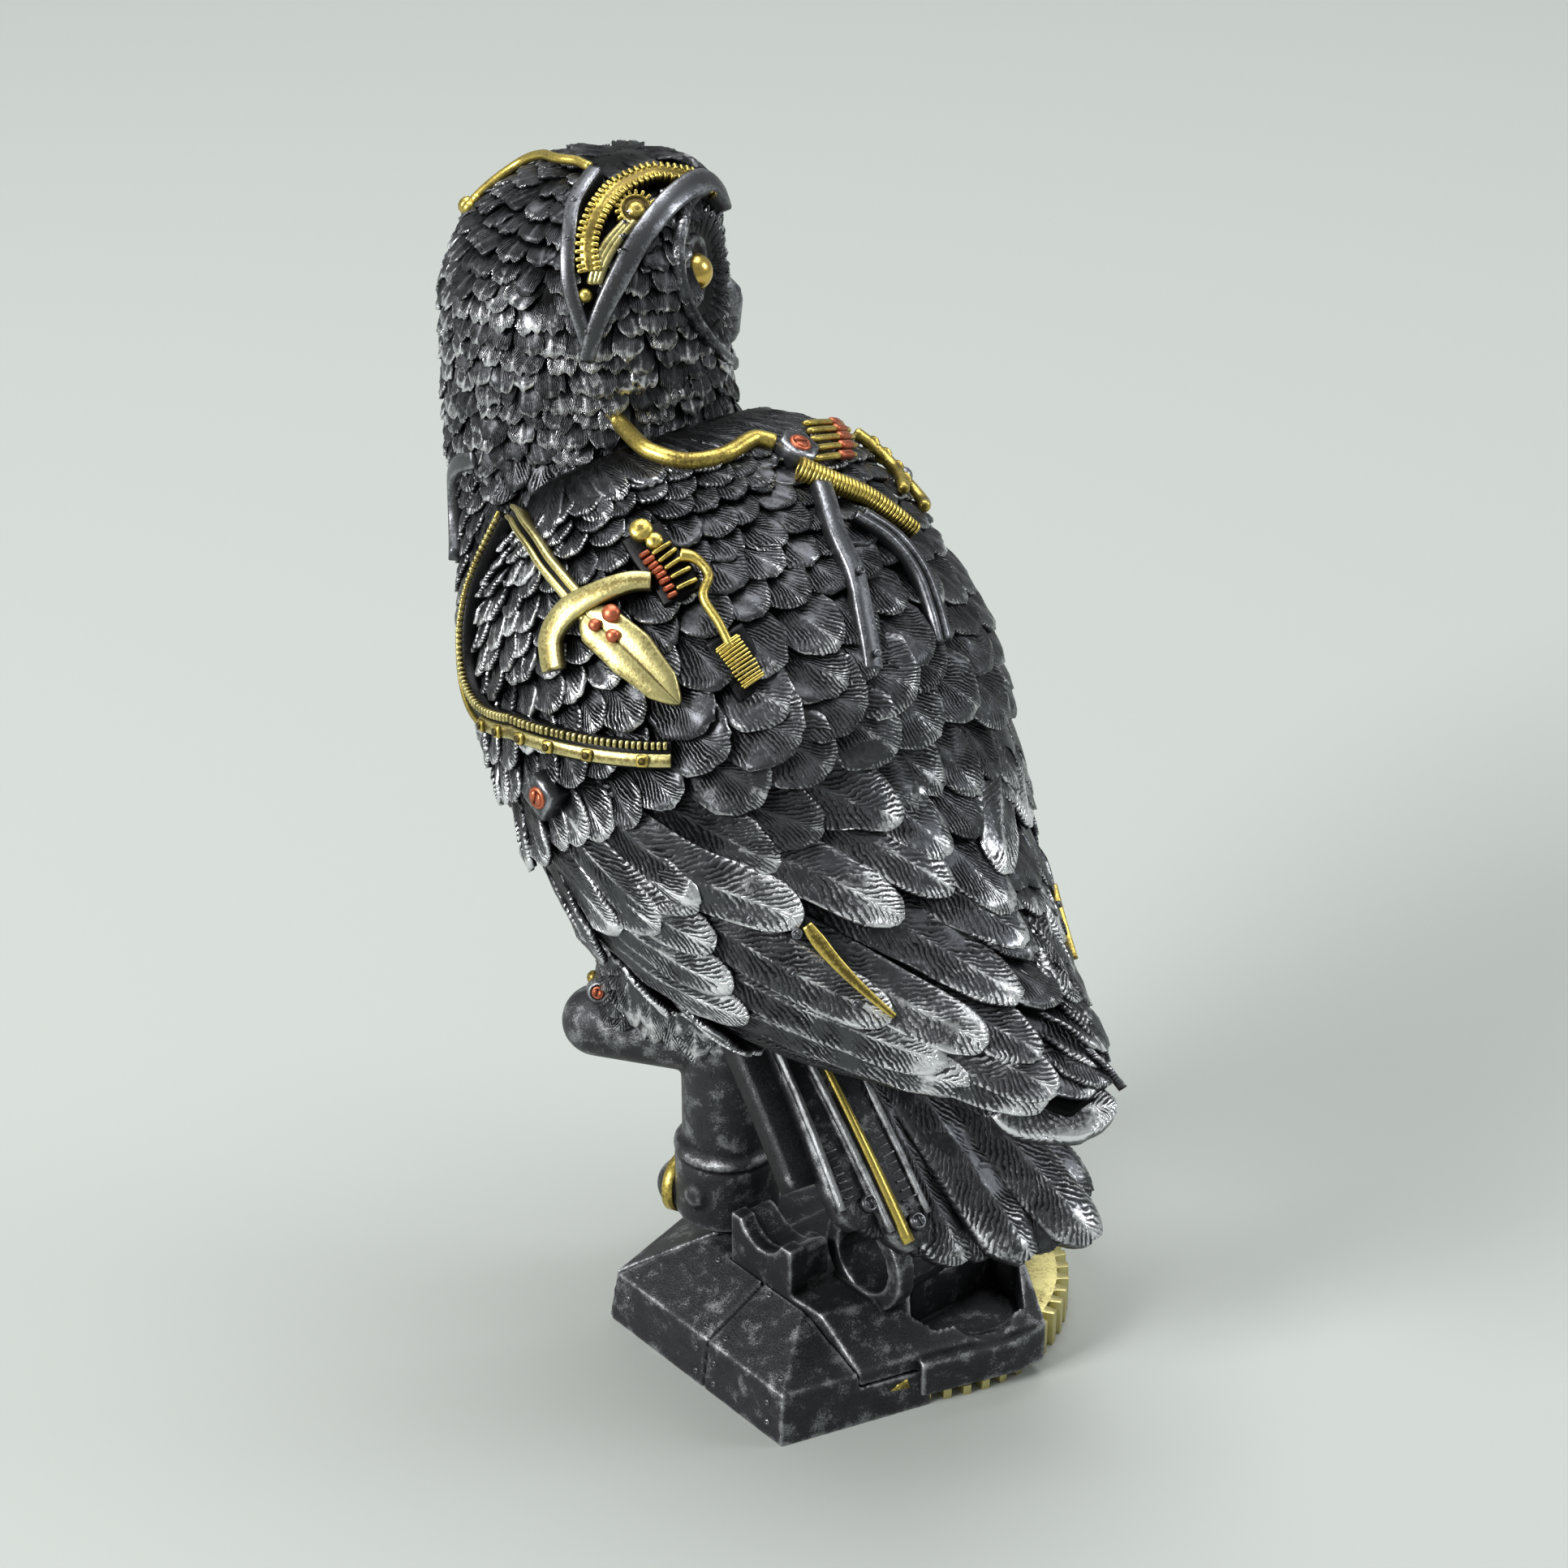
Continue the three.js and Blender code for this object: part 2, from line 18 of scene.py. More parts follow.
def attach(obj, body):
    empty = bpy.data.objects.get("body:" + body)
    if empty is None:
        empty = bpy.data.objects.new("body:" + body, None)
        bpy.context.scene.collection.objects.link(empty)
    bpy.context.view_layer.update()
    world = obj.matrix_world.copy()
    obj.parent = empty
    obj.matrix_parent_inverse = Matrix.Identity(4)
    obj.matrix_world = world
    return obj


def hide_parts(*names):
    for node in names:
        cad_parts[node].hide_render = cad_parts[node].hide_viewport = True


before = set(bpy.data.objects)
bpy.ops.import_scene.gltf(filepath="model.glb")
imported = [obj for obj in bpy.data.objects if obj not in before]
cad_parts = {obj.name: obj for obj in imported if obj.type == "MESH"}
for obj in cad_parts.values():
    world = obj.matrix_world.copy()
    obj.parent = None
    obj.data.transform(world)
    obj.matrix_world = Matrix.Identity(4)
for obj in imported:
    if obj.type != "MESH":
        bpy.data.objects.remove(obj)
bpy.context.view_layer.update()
dice = np.random.default_rng(11)
MM = 0.001
DEG = math.pi / 180
print("nodes:", sorted(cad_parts))

# %% [markdown]
# ## The owl's three smooth forms
# A sculptor starts from smooth masses and lays feathers on them row by row.
# Each mass is a skin: a table of sections that is read as a smooth curve.
# A place on a skin is a pair: how far down the table, and the angle round it.
# The same tables shape the solid part, so feathers laid here follow it everywhere.

# %% Skins
PERCH_TOP = 72.0
CLOAK = np.array([
    [-50, 121, 29, 17, 21], [-40, 107, 43, 31, 39], [-28, 87, 51, 40.5, 44], [-14, 64, 52.5, 43, 40],
    [4, 46, 47, 36.5, 30], [25, 35, 37, 26.5, 21], [45, 28, 25, 16, 12], [62, 23.5, 14, 8, 6],
    [76, 19.5, 5, 2.5, 2]], float)
CHEST = np.array([
    [128, -70, 28, 28], [114, -66.5, 30.5, 30.5], [100, -60, 35, 33], [86, -53, 41, 35], [67, -48, 42.5, 33],
    [50, -44, 38, 29], [39, -40, 33, 26], [30, -37, 28, 23], [21, -34, 23, 20], [11, -31, 19, 17],
    [1, -29, 15, 13]], float)
HEAD = np.array([
    [-40, 27, 0], [-28, 29.5, 0], [-14, 30, 0], [0, 30, 0], [12, 29.5, 0.5], [22, 26.5, 2], [30, 20, 4.5],
    [34.5, 12, 6], [36.5, 1, 7]], float)
HEAD_MIDDLE = (0.0, -70.8, 142.0)
HEAD_TURN = 150 * DEG
FACE_FLAT = 0.94
WING_FOLD = 0.78
WING_SWING = -7.0


def along(rows, s):
    """Reads a table as a smooth curve through its rows."""
    s = np.clip(np.asarray(s, float), 0, len(rows) - 1)
    i = np.minimum(np.floor(s).astype(int), len(rows) - 2)
    t = (s - i)[..., None]
    p, q, r, w = (rows[np.clip(i + k, 0, len(rows) - 1)] for k in (-1, 0, 1, 2))
    return 0.5 * (2 * q + (r - p) * t + (2 * p - 5 * q + 4 * r - w) * t * t + (3 * q - p - 3 * r + w) * t ** 3)


def bird(x, y, z):
    """A point of the owl, measured from the top of the perch."""
    x, y, z = np.broadcast_arrays(x, y, z)
    return np.stack([x, y, z + PERCH_TOP], -1).astype(float)


def cloak(s, angle):
    """Back and folded wings, from the nape to the wing tips."""
    s, a = np.broadcast_arrays(np.asarray(s, float), np.asarray(angle, float) * DEG)
    y, z, wide, behind, front = np.moveaxis(along(CLOAK, s), -1, 0)
    step = along(CLOAK, s + 0.25) - along(CLOAK, s - 0.25)
    run = np.hypot(step[..., 0], step[..., 1])
    last = len(CLOAK) - 1
    swing = WING_SWING * np.maximum(0, (s - 4.5) / (last - 4.5)) ** 1.5
    c, across = np.cos(a), np.sin(a)
    fold = np.where(c > 0, 1, WING_FOLD)
    h = np.where(c > 0, behind * c, -front * np.abs(c) ** fold)
    x = wide * np.sign(across) * np.abs(across) ** fold + swing
    return bird(x, y - step[..., 1] / run * h, z + step[..., 0] / run * h)


def chest(s, angle):
    """Neck, breast and belly."""
    s, a = np.broadcast_arrays(np.asarray(s, float), np.asarray(angle, float) * DEG)
    z, y, wide, deep = np.moveaxis(along(CHEST, s), -1, 0)
    return bird(wide * np.sin(a), y - deep * np.cos(a), z)


def head_place(across, forward, above):
    """A point of the head in its own turned frame, which looks along the face."""
    c, s = math.cos(HEAD_TURN), math.sin(HEAD_TURN)
    x, y, z = HEAD_MIDDLE
    return bird(x + forward * c + across * s, y + forward * s - across * c, z + above)


EYE_ACROSS, EYE_FORWARD, EYE_ABOVE = 14.0, 19.6, 15.0


def dish(across, above):
    """How deep the face is pressed in round each eye."""
    return 6.5 * np.exp(-((np.abs(across) - EYE_ACROSS) / 8) ** 2 - ((above - EYE_ABOVE) / 10) ** 2)


def head(s, angle):
    """Head, from the crown down to the collar of the neck."""
    s, a = np.broadcast_arrays(np.asarray(s, float), np.asarray(angle, float) * DEG)
    z, r, shift = np.moveaxis(along(HEAD, len(HEAD) - 1 - s), -1, 0)
    c = np.cos(a)
    return head_place(r * 0.97 * np.sin(a), shift + r * c * np.where(c > 0, FACE_FLAT, 1), z)


def unit(v):
    return v / np.maximum(np.linalg.norm(v, axis=-1, keepdims=True), 1e-9)


def outward(skin, s, angle):
    """The skin's outward direction at a place."""
    ds = skin(s + 0.04, angle) - skin(s - 0.04, angle)
    da = skin(s, angle + 2.0) - skin(s, angle - 2.0)
    n = unit(np.cross(ds, da))
    side = np.sum(n * (skin(s, angle) - skin(s, angle + 180.0)), -1, keepdims=True)
    return np.where(side < 0, -n, n)


print("crown is", round(float(head(0, 0)[2]), 1), "mm above the floor")

# %% [markdown]
# ## Gathering shapes into pieces
# A cast piece is many small shapes pressed together, so each piece here is one mesh of many closed shapes.
# Two numbers go with every point: how much the silver rubs it, and where it lies on its own feather.
# The paint reads them later, much as a dry brush only touches what stands up; where the rub is low it lays a dark wash
# that is also painted shade.

# %% Forms
class Form:
    """Points, faces, rub and feather coordinates of one piece, in millimetres."""

    def __init__(self):
        self.points, self.faces, self.rub, self.place, self.count = [], {3: [], 4: []}, [], [], 0

    def add(self, points, quads=(), tris=(), rub=0.4, place=None):
        points = np.asarray(points, float).reshape(-1, 3)
        for size, faces in ((4, quads), (3, tris)):
            if len(faces):
                self.faces[size].append(np.asarray(faces, int) + self.count)
        self.points.append(points)
        self.rub.append(np.broadcast_to(np.asarray(rub, float), len(points)))
        self.place.append(np.zeros((len(points), 2)) if place is None else np.asarray(place, float))
        self.count += len(points)
        return self

    def mesh(self, name):
        points = np.concatenate(self.points) * MM
        quads = np.concatenate(self.faces[4]) if self.faces[4] else np.zeros((0, 4), int)
        tris = np.concatenate(self.faces[3]) if self.faces[3] else np.zeros((0, 3), int)
        loops = np.concatenate([quads.ravel(), tris.ravel()])
        sizes = np.concatenate([np.full(len(quads), 4), np.full(len(tris), 3)])
        mesh = bpy.data.meshes.new(name)
        mesh.vertices.add(len(points))
        mesh.vertices.foreach_set("co", points.ravel())
        mesh.loops.add(len(loops))
        mesh.loops.foreach_set("vertex_index", loops)
        mesh.polygons.add(len(sizes))
        mesh.polygons.foreach_set("loop_start", np.concatenate([[0], np.cumsum(sizes)[:-1]]))
        mesh.polygons.foreach_set("use_smooth", np.ones(len(sizes), bool))
        mesh.update(calc_edges=True)
        uv = mesh.uv_layers.new(name="place")
        uv.data.foreach_set("uv", np.concatenate(self.place)[loops].ravel())
        rub = mesh.attributes.new("rub", "FLOAT", "POINT")
        rub.data.foreach_set("value", np.concatenate(self.rub))
        mesh.validate()
        return mesh


print("a form keeps", list(vars(Form())))

# %% [markdown]
# ## Handing a piece over
# A finished mesh becomes one object of the part. It rides on the part's only body, it may stand in for one of the plain
# solids, and it wears one material. One helper does it, so no piece forgets a step.
# The other helper is the workhorse of all hard shapes here: a closed skin drawn over a stack of rings.

# %% Pieces
def piece(name, mesh, material, slot, *nodes):
    """Puts a mesh into the scene as a finished piece that rides on the part."""
    if isinstance(mesh, Form):
        mesh = mesh.mesh(name)
    mesh.materials.clear()
    mesh.materials.append(material)
    made = bpy.data.objects.new(name, mesh)
    bpy.context.scene.collection.objects.link(made)
    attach(made, "root")
    if nodes:
        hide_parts(*nodes)
    triangles = sum(len(p.vertices) - 2 for p in mesh.polygons)
    print(f"{name}: {triangles} triangles")
    return made


def rings(form, stack, rub=0.4):
    """Closed skin over a stack of rings of points. Its faces look outward whichever way the rings run."""
    stack = np.asarray(stack, float)
    n, m = stack.shape[:2]
    i, j = np.meshgrid(np.arange(n - 1), np.arange(m), indexing="ij")
    a, b = i * m + j, i * m + (j + 1) % m
    quads = np.stack([a, b, b + m, a + m], -1).reshape(-1, 4)
    k = np.arange(m)
    tris = np.concatenate([np.stack([np.full(m, n * m), (k + 1) % m, k], -1),
                           np.stack([np.full(m, n * m + 1), (n - 1) * m + k, (n - 1) * m + (k + 1) % m], -1)])
    points = np.concatenate([stack.reshape(-1, 3), stack[0].mean(0)[None], stack[-1].mean(0)[None]])
    faces = np.concatenate([quads[:, [0, 1, 2]], quads[:, [0, 2, 3]], tris])
    p = points[faces] - points.mean(0)
    if np.einsum("ij,ij->i", p[:, 0], np.cross(p[:, 1], p[:, 2])).sum() < 0:
        quads, tris = quads[:, ::-1], tris[:, ::-1]
    if np.ndim(rub):
        rub = np.concatenate([np.asarray(rub, float).reshape(-1), [0.3, 0.3]])
    return form.add(points, quads, tris, rub)


square = np.array([(1, 1, 0), (-1, 1, 0), (-1, -1, 0), (1, -1, 0)])
print("a ring stack of one cube has", rings(Form(), [square, square + (0, 0, 2)]).count,
      "points, its two middles among them")

# %% [markdown]
# ## Feathers
# One feather is a thin curved leaf: a shaft down the middle, two vanes that droop from it and a ragged tip.
# It starts a little under the skin and its tip stands off, so that each row laps the next as tiles do.
# Copies of one template would be quicker, but on a cast bird every feather bends along the body and no two have the
# same tip. So each one is worked out from its own midline, a whole row at once, for there are over a thousand.

# %% Feather maker
def leaf(form, spine, up, width, lift=1.6, sink=0.8, tip=0.25, sharp=2.6, droop=0.14, ragged=0.03, rub=0.5,
         across=7, thick=0.9, breadth=(0.75, 1.0, 0.95), shaft=0.16, uneven=0.12, edge=0.5, steep=1.15, root_shade=0.3):
    """Feathers along spines [count, rows, 3], with outward directions of the same shape.

    The root is sunk and the tip lifted. Tip and sharp round the end, droop bends the vanes down, edge is the silver
    along the rim, and the last argument is the share of the length from the root that is painted dark, as painted shade
    of the row above.
    """
    count, rows = spine.shape[:2]
    width, lift, rub = (np.broadcast_to(np.asarray(x, float), count)[:, None, None] for x in (width, lift, rub))
    run = unit(np.gradient(spine, axis=1))
    side = unit(np.cross(up, run))
    length = np.linalg.norm(np.diff(spine, axis=1), axis=-1).sum(1)[:, None, None]
    v = np.linspace(0, 1, rows)[None, :, None]
    u = np.linspace(-1, 1, across)[None, None, :]
    body = np.interp(v, [0, 0.55, 1], breadth)
    notch = dice.normal(0, 1, (count, 1, across)) * ragged * v ** 3
    back = np.minimum(length, width * 2.2) * (tip * np.abs(u) ** sharp * v ** 1.5 + notch)
    half = width / 2 * body * (1 - 0.1 * np.clip((v - 0.85) / 0.15, 0, 1) ** 2)
    rise = -sink + (lift + sink) * v ** steep
    rise = rise - droop * width * np.abs(u) ** 2.4 * (0.4 + 0.6 * v) - 0.12 * lift * np.clip((v - 0.9) / 0.1, 0, 1)
    rise = rise + shaft * np.exp(-(u / 0.16) ** 2) * (1 - v ** 4)
    wave = dice.uniform(0, 2 * math.pi, (2, count, 1, 1))
    swell = np.sin(2.3 * math.pi * u + wave[0] + 2 * v) * np.sin(2.1 * math.pi * v * length / 14 + wave[1])
    rise = rise + uneven * swell
    x = u * half
    top = (spine[:, :, None] + side[:, :, None] * x[..., None] + up[:, :, None] * rise[..., None]
           - run[:, :, None] * (back + 0 * x)[..., None])
    worn = (0.3 + 0.3 * np.clip((v - 0.5) / 0.5, 0, 1) + 0.45 * np.clip((v - 0.86) / 0.14, 0, 1)
            + edge * np.abs(u) ** 10 * v ** 0.5)
    # The root end under the row above gets little rub, so the paint lays painted shade there.
    worn = np.clip(rub * (worn + 0.3 * np.exp(-(u / 0.1) ** 2)) + 0 * x, 0, 1.4) * np.clip((v - root_shade) / 0.3, 0.02, 1)
    place = np.stack([x / 10 + 0.5 + 0 * v, (length * v - back) / 10 + 0 * u], -1)
    size = rows * across
    grid_index = np.arange(size).reshape(rows, across)
    quads = np.stack([grid_index[:-1, :-1], grid_index[:-1, 1:], grid_index[1:, 1:], grid_index[1:, :-1]],
                     -1).reshape(-1, 4)
    rim = np.concatenate([grid_index[0, :-1], grid_index[:-1, -1], grid_index[-1, :0:-1], grid_index[:0:-1, 0]])
    low = size + np.arange(len(rim))
    skirt = np.stack([rim, low, np.roll(low, -1), np.roll(rim, -1)], -1)
    under = np.stack([np.full(len(rim), size + len(rim)), np.roll(low, -1), low], -1)
    flat = top.reshape(count, size, 3)
    down = np.repeat(up, across, axis=1)[:, rim]
    bottom = flat[:, rim] - down * thick
    middle = bottom.mean(1, keepdims=True) - up[:, rows // 2][:, None] * 0.1
    points = np.concatenate([flat, bottom, middle], 1)
    shift = (np.arange(count) * points.shape[1])[:, None, None]
    worn = np.concatenate([worn.reshape(count, size), np.zeros((count, len(rim) + 1))], 1)
    place = place.reshape(count, size, 2)
    place = np.concatenate([place, place[:, rim], np.full((count, 1, 2), 0.5)], 1)
    left_handed = np.sum(np.cross(side, run) * up, -1).mean() < 0
    order, order3 = ([0, 3, 2, 1], [0, 2, 1]) if left_handed else ([0, 1, 2, 3], [0, 1, 2])
    all_quads = (np.concatenate([quads, skirt])[:, order][None] + shift).reshape(-1, 4)
    all_tris = (under[:, order3][None] + shift).reshape(-1, 3)
    return form.add(points, all_quads, all_tris, worn.reshape(-1), place.reshape(-1, 2))


print("a feather has", 7 * 6, "points on top when it is 7 points wide and 6 rows long")

# %% [markdown]
# ## Where feathers grow
# On the real model the sculptor lays feathers in rows, each set half a feather off the row above.
# Here a row is walked at even steps along the skin, with a little wandering, so that it never looks ruled.

# %% Feather rows
def spines(skin, roots, tips, rows):
    """Feather midlines on a skin, from root places to tip places."""
    t = np.linspace(0, 1, rows)[None, :]
    s = roots[:, :1] + (tips[:, :1] - roots[:, :1]) * t
    a = roots[:, 1:] + (tips[:, 1:] - roots[:, 1:]) * t
    return skin(s, a), outward(skin, s, a)


def covering(skin, stations, spread, width, stretch, pack=0.8, skip=None, wander=5.0, lean=None):
    """Rows of feathers down a skin: root place, tip place and width of each.

    Width is in millimetres, stretch is length over width, pack is the share of a width from feather to feather.
    """
    found = []
    for row, s in enumerate(stations):
        half = float(np.interp(s, *spread)) if isinstance(spread, tuple) else spread
        turns = np.linspace(-half, half, 121)
        ring = skin(s, turns)
        step = np.linalg.norm(np.diff(ring, axis=0), axis=-1)
        wide = np.array([width(s, t) for t in turns])
        count = np.concatenate([[0], np.cumsum(step / (0.5 * (wide[1:] + wide[:-1]) * pack))])
        for spot in np.arange(0.3 + 0.5 * (row % 2), count[-1], 1.0):
            angle = float(np.interp(spot, count, turns)) + dice.normal(0, 0.4)
            at = s + dice.normal(0, 0.015)
            size = width(s, angle) * dice.uniform(0.92, 1.1)
            reach = size * stretch(s, angle)
            per_s = np.linalg.norm(skin(at + 0.05, angle) - skin(at, angle)) / 0.05
            per_a = np.linalg.norm(skin(at, angle + 1) - skin(at, angle))
            turn = dice.normal(0, wander) * DEG
            end = at + reach * math.cos(turn) / max(per_s, 1e-3)
            end_angle = angle + reach * math.sin(turn) / max(per_a, 1e-3) + (lean(angle) * (end - at) if lean else 0)
            if skip is None or not skip(at + 0.6 * (end - at), angle):
                found.append((at, angle, end, end_angle, size))
    return np.array(found)


def evenly(skin, s_from, s_to, gap):
    """Row places down a skin, a gap in millimetres apart. The gap is a function of the place."""
    found, s = [], s_from
    while s < s_to:
        found.append(s)
        s += gap(s) / (np.linalg.norm(skin(s + 0.05, 40.0) - skin(s, 40.0)) / 0.05)
    return found


print("rows 10 mm apart down the back:", len(evenly(cloak, 0.0, 6.9, lambda s: 10.0)))

# %% [markdown]
# ## Paint
# The finish is three coats: near-black metal paint, a dark wash that stays in the hollows and is painted shade there as
# well, and silver rubbed over what stands up. A small wrapper lets the paint be written as plain sums.

# %% Paint tools
class Socket:
    """A shader value that can be added, multiplied and compared in plain sums."""

    def __init__(self, tree, socket):
        self.tree, self.socket = tree, socket

    def maths(self, kind, *others, clamp=False):
        node = self.tree.nodes.new("ShaderNodeMath")
        node.operation, node.use_clamp = kind, clamp
        for slot, value in zip(node.inputs, (self, *others)):
            if isinstance(value, Socket):
                self.tree.links.new(value.socket, slot)
            else:
                slot.default_value = value
        return Socket(self.tree, node.outputs[0])

    def __add__(self, other):
        return self.maths("ADD", other)

    def __sub__(self, other):
        return self.maths("SUBTRACT", other)

    def __mul__(self, other):
        return self.maths("MULTIPLY", other)

    def __rsub__(self, other):
        return self.maths("MULTIPLY", -1.0) + other

    __radd__, __rmul__ = __add__, __mul__

    def clamped(self):
        return self.maths("ADD", 0.0, clamp=True)


class Paint:
    """One material's node tree."""

    def __init__(self, name):
        self.material = bpy.data.materials.new(name)
        self.material.use_nodes = True
        self.tree = self.material.node_tree
        self.shader = self.tree.nodes["Principled BSDF"]

    def node(self, kind, settings=None, **values):
        made = self.tree.nodes.new(kind)
        for key, value in (settings or {}).items():
            setattr(made, key, value)
        for key, value in values.items():
            slot = made.inputs[key.replace("_", " ")]
            if isinstance(value, Socket):
                self.tree.links.new(value.socket, slot)
            else:
                slot.default_value = value
        return made

    def attribute(self, name):
        return Socket(self.tree, self.node("ShaderNodeAttribute", {"attribute_name": name}).outputs["Fac"])

    def noise(self, scale, detail=3.0, roughness=0.55):
        where = self.node("ShaderNodeTexCoord").outputs["Object"]
        made = self.node("ShaderNodeTexNoise", Scale=scale, Detail=detail, Roughness=roughness)
        self.tree.links.new(where, made.inputs["Vector"])
        return Socket(self.tree, made.outputs["Fac"])

    def feather_place(self):
        apart = self.node("ShaderNodeSeparateXYZ")
        where = self.node("ShaderNodeUVMap", {"uv_map": "place"})
        self.tree.links.new(where.outputs["UV"], apart.inputs["Vector"])
        return Socket(self.tree, apart.outputs["X"]), Socket(self.tree, apart.outputs["Y"])

    def blend(self, factor, first, second):
        made = self.node("ShaderNodeMix", {"data_type": "RGBA"})
        made.inputs["A"].default_value = (*first, 1) if not isinstance(first, Socket) else (0, 0, 0, 1)
        self.tree.links.new(factor.socket, made.inputs["Factor"])
        for key, value, spot in (("A", first, 6), ("B", second, 7)):
            if isinstance(value, Socket):
                self.tree.links.new(value.socket, made.inputs[spot])
            else:
                made.inputs[spot].default_value = (*value, 1)
        return Socket(self.tree, made.outputs[2])

    def drive(self, name, value):
        if isinstance(value, Socket):
            self.tree.links.new(value.socket, self.shader.inputs[name])
        else:
            self.shader.inputs[name].default_value = value

    def bump(self, height, distance, strength=1.0):
        made = self.node("ShaderNodeBump", Strength=strength, Distance=distance, Height=height)
        self.tree.links.new(made.outputs["Normal"], self.shader.inputs["Normal"])


print("paint tools ready")

# %% [markdown]
# ## One recipe for every metal
# All finishes of the figure are the same three coats in other colours, so one recipe makes them all.
# The rub value of each point, broken up by noise, says where the silver sits; where it is low, a dark wash turns the
# coat black as painted shade. On feathers, fine lines that run out from the shaft are pressed in as well: a painter's
# wash stays in such lines as painted shade, and bare metal shows between them.

# %% Metal recipe
def metal_paint(name, dark, light, hollow=None, barbs=0.0, fan=1.6, pitch=1.2, start=0.42, rough=(0.36, 0.28),
                metal=(0.85, 0.95), grain=260.0, depth=0.00012, mottle=0.5, spread=2.6, wash_and_shade_gain=2.4):
    """Dark coat, washed black in hollows, at feather roots and along barb lines as painted shade, with a rubbed coat on
    top. Barbs are a feather's engraved lines.
    """
    paint = Paint(name)
    rub = paint.attribute("rub")
    fine = paint.noise(grain * 4, 4.0, 0.65)
    broad = paint.noise(grain * 0.35, 3.0, 0.6)
    height = fine * 0.4 + broad * 0.6
    silver = rub + (fine - 0.5) * 1.0 + (broad - 0.5) * mottle * 2
    if barbs:
        x, y = paint.feather_place()
        off = (x - 0.5).maths("ABSOLUTE")
        wobble = paint.noise(120.0, 2.0) * 4.0 + fine * 1.2
        turns = (y - off.maths("POWER", 0.8) * fan) * (10 / pitch) + wobble
        lines = (turns * (2 * math.pi)).maths("SINE") * 0.5 + 0.5
        patch = ((paint.noise(150.0, 1.0) - 0.36) * 4.0).clamped() * (off * 16.0).clamped()
        groove = lines.maths("POWER", 2.2) * patch
        ridge = (1 - lines).maths("POWER", 3.0) * patch
        height = height * 0.5 + (1 - groove) * barbs
        silver = silver - groove * 0.7 + ridge * 0.15
    factor = ((silver - start) * spread).clamped()
    # Where the rub is low the coat turns to the hollow colour: a dark wash and painted shade in hollows, at feather
    # roots and along the barb lines.
    wash_and_shade = rub * wash_and_shade_gain + (fine - 0.5) * 1.6 + (broad - 0.5) * 0.8
    wash_and_shade = wash_and_shade - groove * 1.1 if barbs else wash_and_shade
    coat = paint.blend(wash_and_shade.clamped(), hollow or tuple(c * 0.12 for c in dark), dark)
    paint.drive("Base Color", paint.blend(factor, coat, light))
    paint.drive("Roughness", factor * (rough[1] - rough[0]) + rough[0] + (fine - 0.5) * 0.2)
    paint.drive("Metallic", factor * (metal[1] - metal[0]) + metal[0])
    paint.bump(height, depth if not barbs else 0.0005, 1.0)
    return paint.material


print("metal recipe ready")

# %% [markdown]
# ## The finishes
# Feathers are near-black with bright silver tips. Castings are duller, straps are plain steel grey, brass is dark in
# its hollows from a wash that is also painted shade, and small nuts and blocks are copper red. The darkest, near-black
# paint is painted shade for the hidden body and the groove floors.

# %% Finishes
DARK, SILVER = (0.07, 0.073, 0.08), (0.82, 0.83, 0.86)
FEATHER_METAL = (0.9, 0.97)
feather_paint = metal_paint("feather paint", DARK, SILVER, barbs=1.0, fan=2.0, pitch=1.8, start=0.6,
                            metal=FEATHER_METAL, rough=(0.36, 0.27))
quill_paint = metal_paint("quill paint", DARK, SILVER, barbs=1.0, fan=1.3, pitch=1.8, start=0.6,
                          metal=FEATHER_METAL, rough=(0.36, 0.26))
scale_paint = metal_paint("head feather paint", DARK, SILVER, barbs=0.6, fan=5.0, pitch=2.0, start=0.64,
                          metal=FEATHER_METAL, rough=(0.38, 0.28))
# Near-black paint for the body between the feathers and for the groove floors; it is painted shade.
shade_black_paint = metal_paint("shade black paint", (0.008, 0.008, 0.009), (0.05, 0.05, 0.055), start=0.9)
cast_paint = metal_paint("cast paint", (0.05, 0.052, 0.057), (0.4, 0.41, 0.43), start=0.42, grain=640.0,
                         depth=0.0004, mottle=0.9, spread=1.7, rough=(0.44, 0.34))
steel_paint = metal_paint("strap paint", (0.075, 0.078, 0.085), (0.34, 0.35, 0.38), start=0.72, grain=500.0, wash_and_shade_gain=4.0)
brass_paint = metal_paint("brass paint", (0.13, 0.095, 0.022), (0.66, 0.52, 0.13), hollow=(0.012, 0.008, 0.003),
                          start=0.55, grain=500.0, rough=(0.42, 0.3), metal=(0.8, 0.95))
pale_brass = metal_paint("rubbed brass paint", (0.16, 0.13, 0.045), (0.58, 0.52, 0.23), hollow=(0.02, 0.016, 0.006),
                         start=0.5, grain=420.0, rough=(0.42, 0.33), metal=(0.8, 0.9))
copper_paint = metal_paint("copper paint", (0.2, 0.05, 0.025), (0.5, 0.14, 0.07), hollow=(0.04, 0.01, 0.006),
                           start=0.4, grain=500.0, rough=(0.5, 0.36), metal=(0.6, 0.85))
eye_paint = metal_paint("eye paint", (0.4, 0.26, 0.05), (0.7, 0.5, 0.13), hollow=(0.3, 0.2, 0.04), start=0.3,
                        grain=200.0, wash_and_shade_gain=6.0, depth=0.00002, rough=(0.3, 0.24), metal=(0.9, 0.95))
print("paints:", [m.name for m in bpy.data.materials if "paint" in m.name])

# %% [markdown]
# ## Repeated parts
# Screws, teeth, hose ribs and ruler ticks come in dozens. Geometry Nodes sets one template on every point
# of a list, turned and sized by values stored on the points, just as a model maker casts one and glues many.

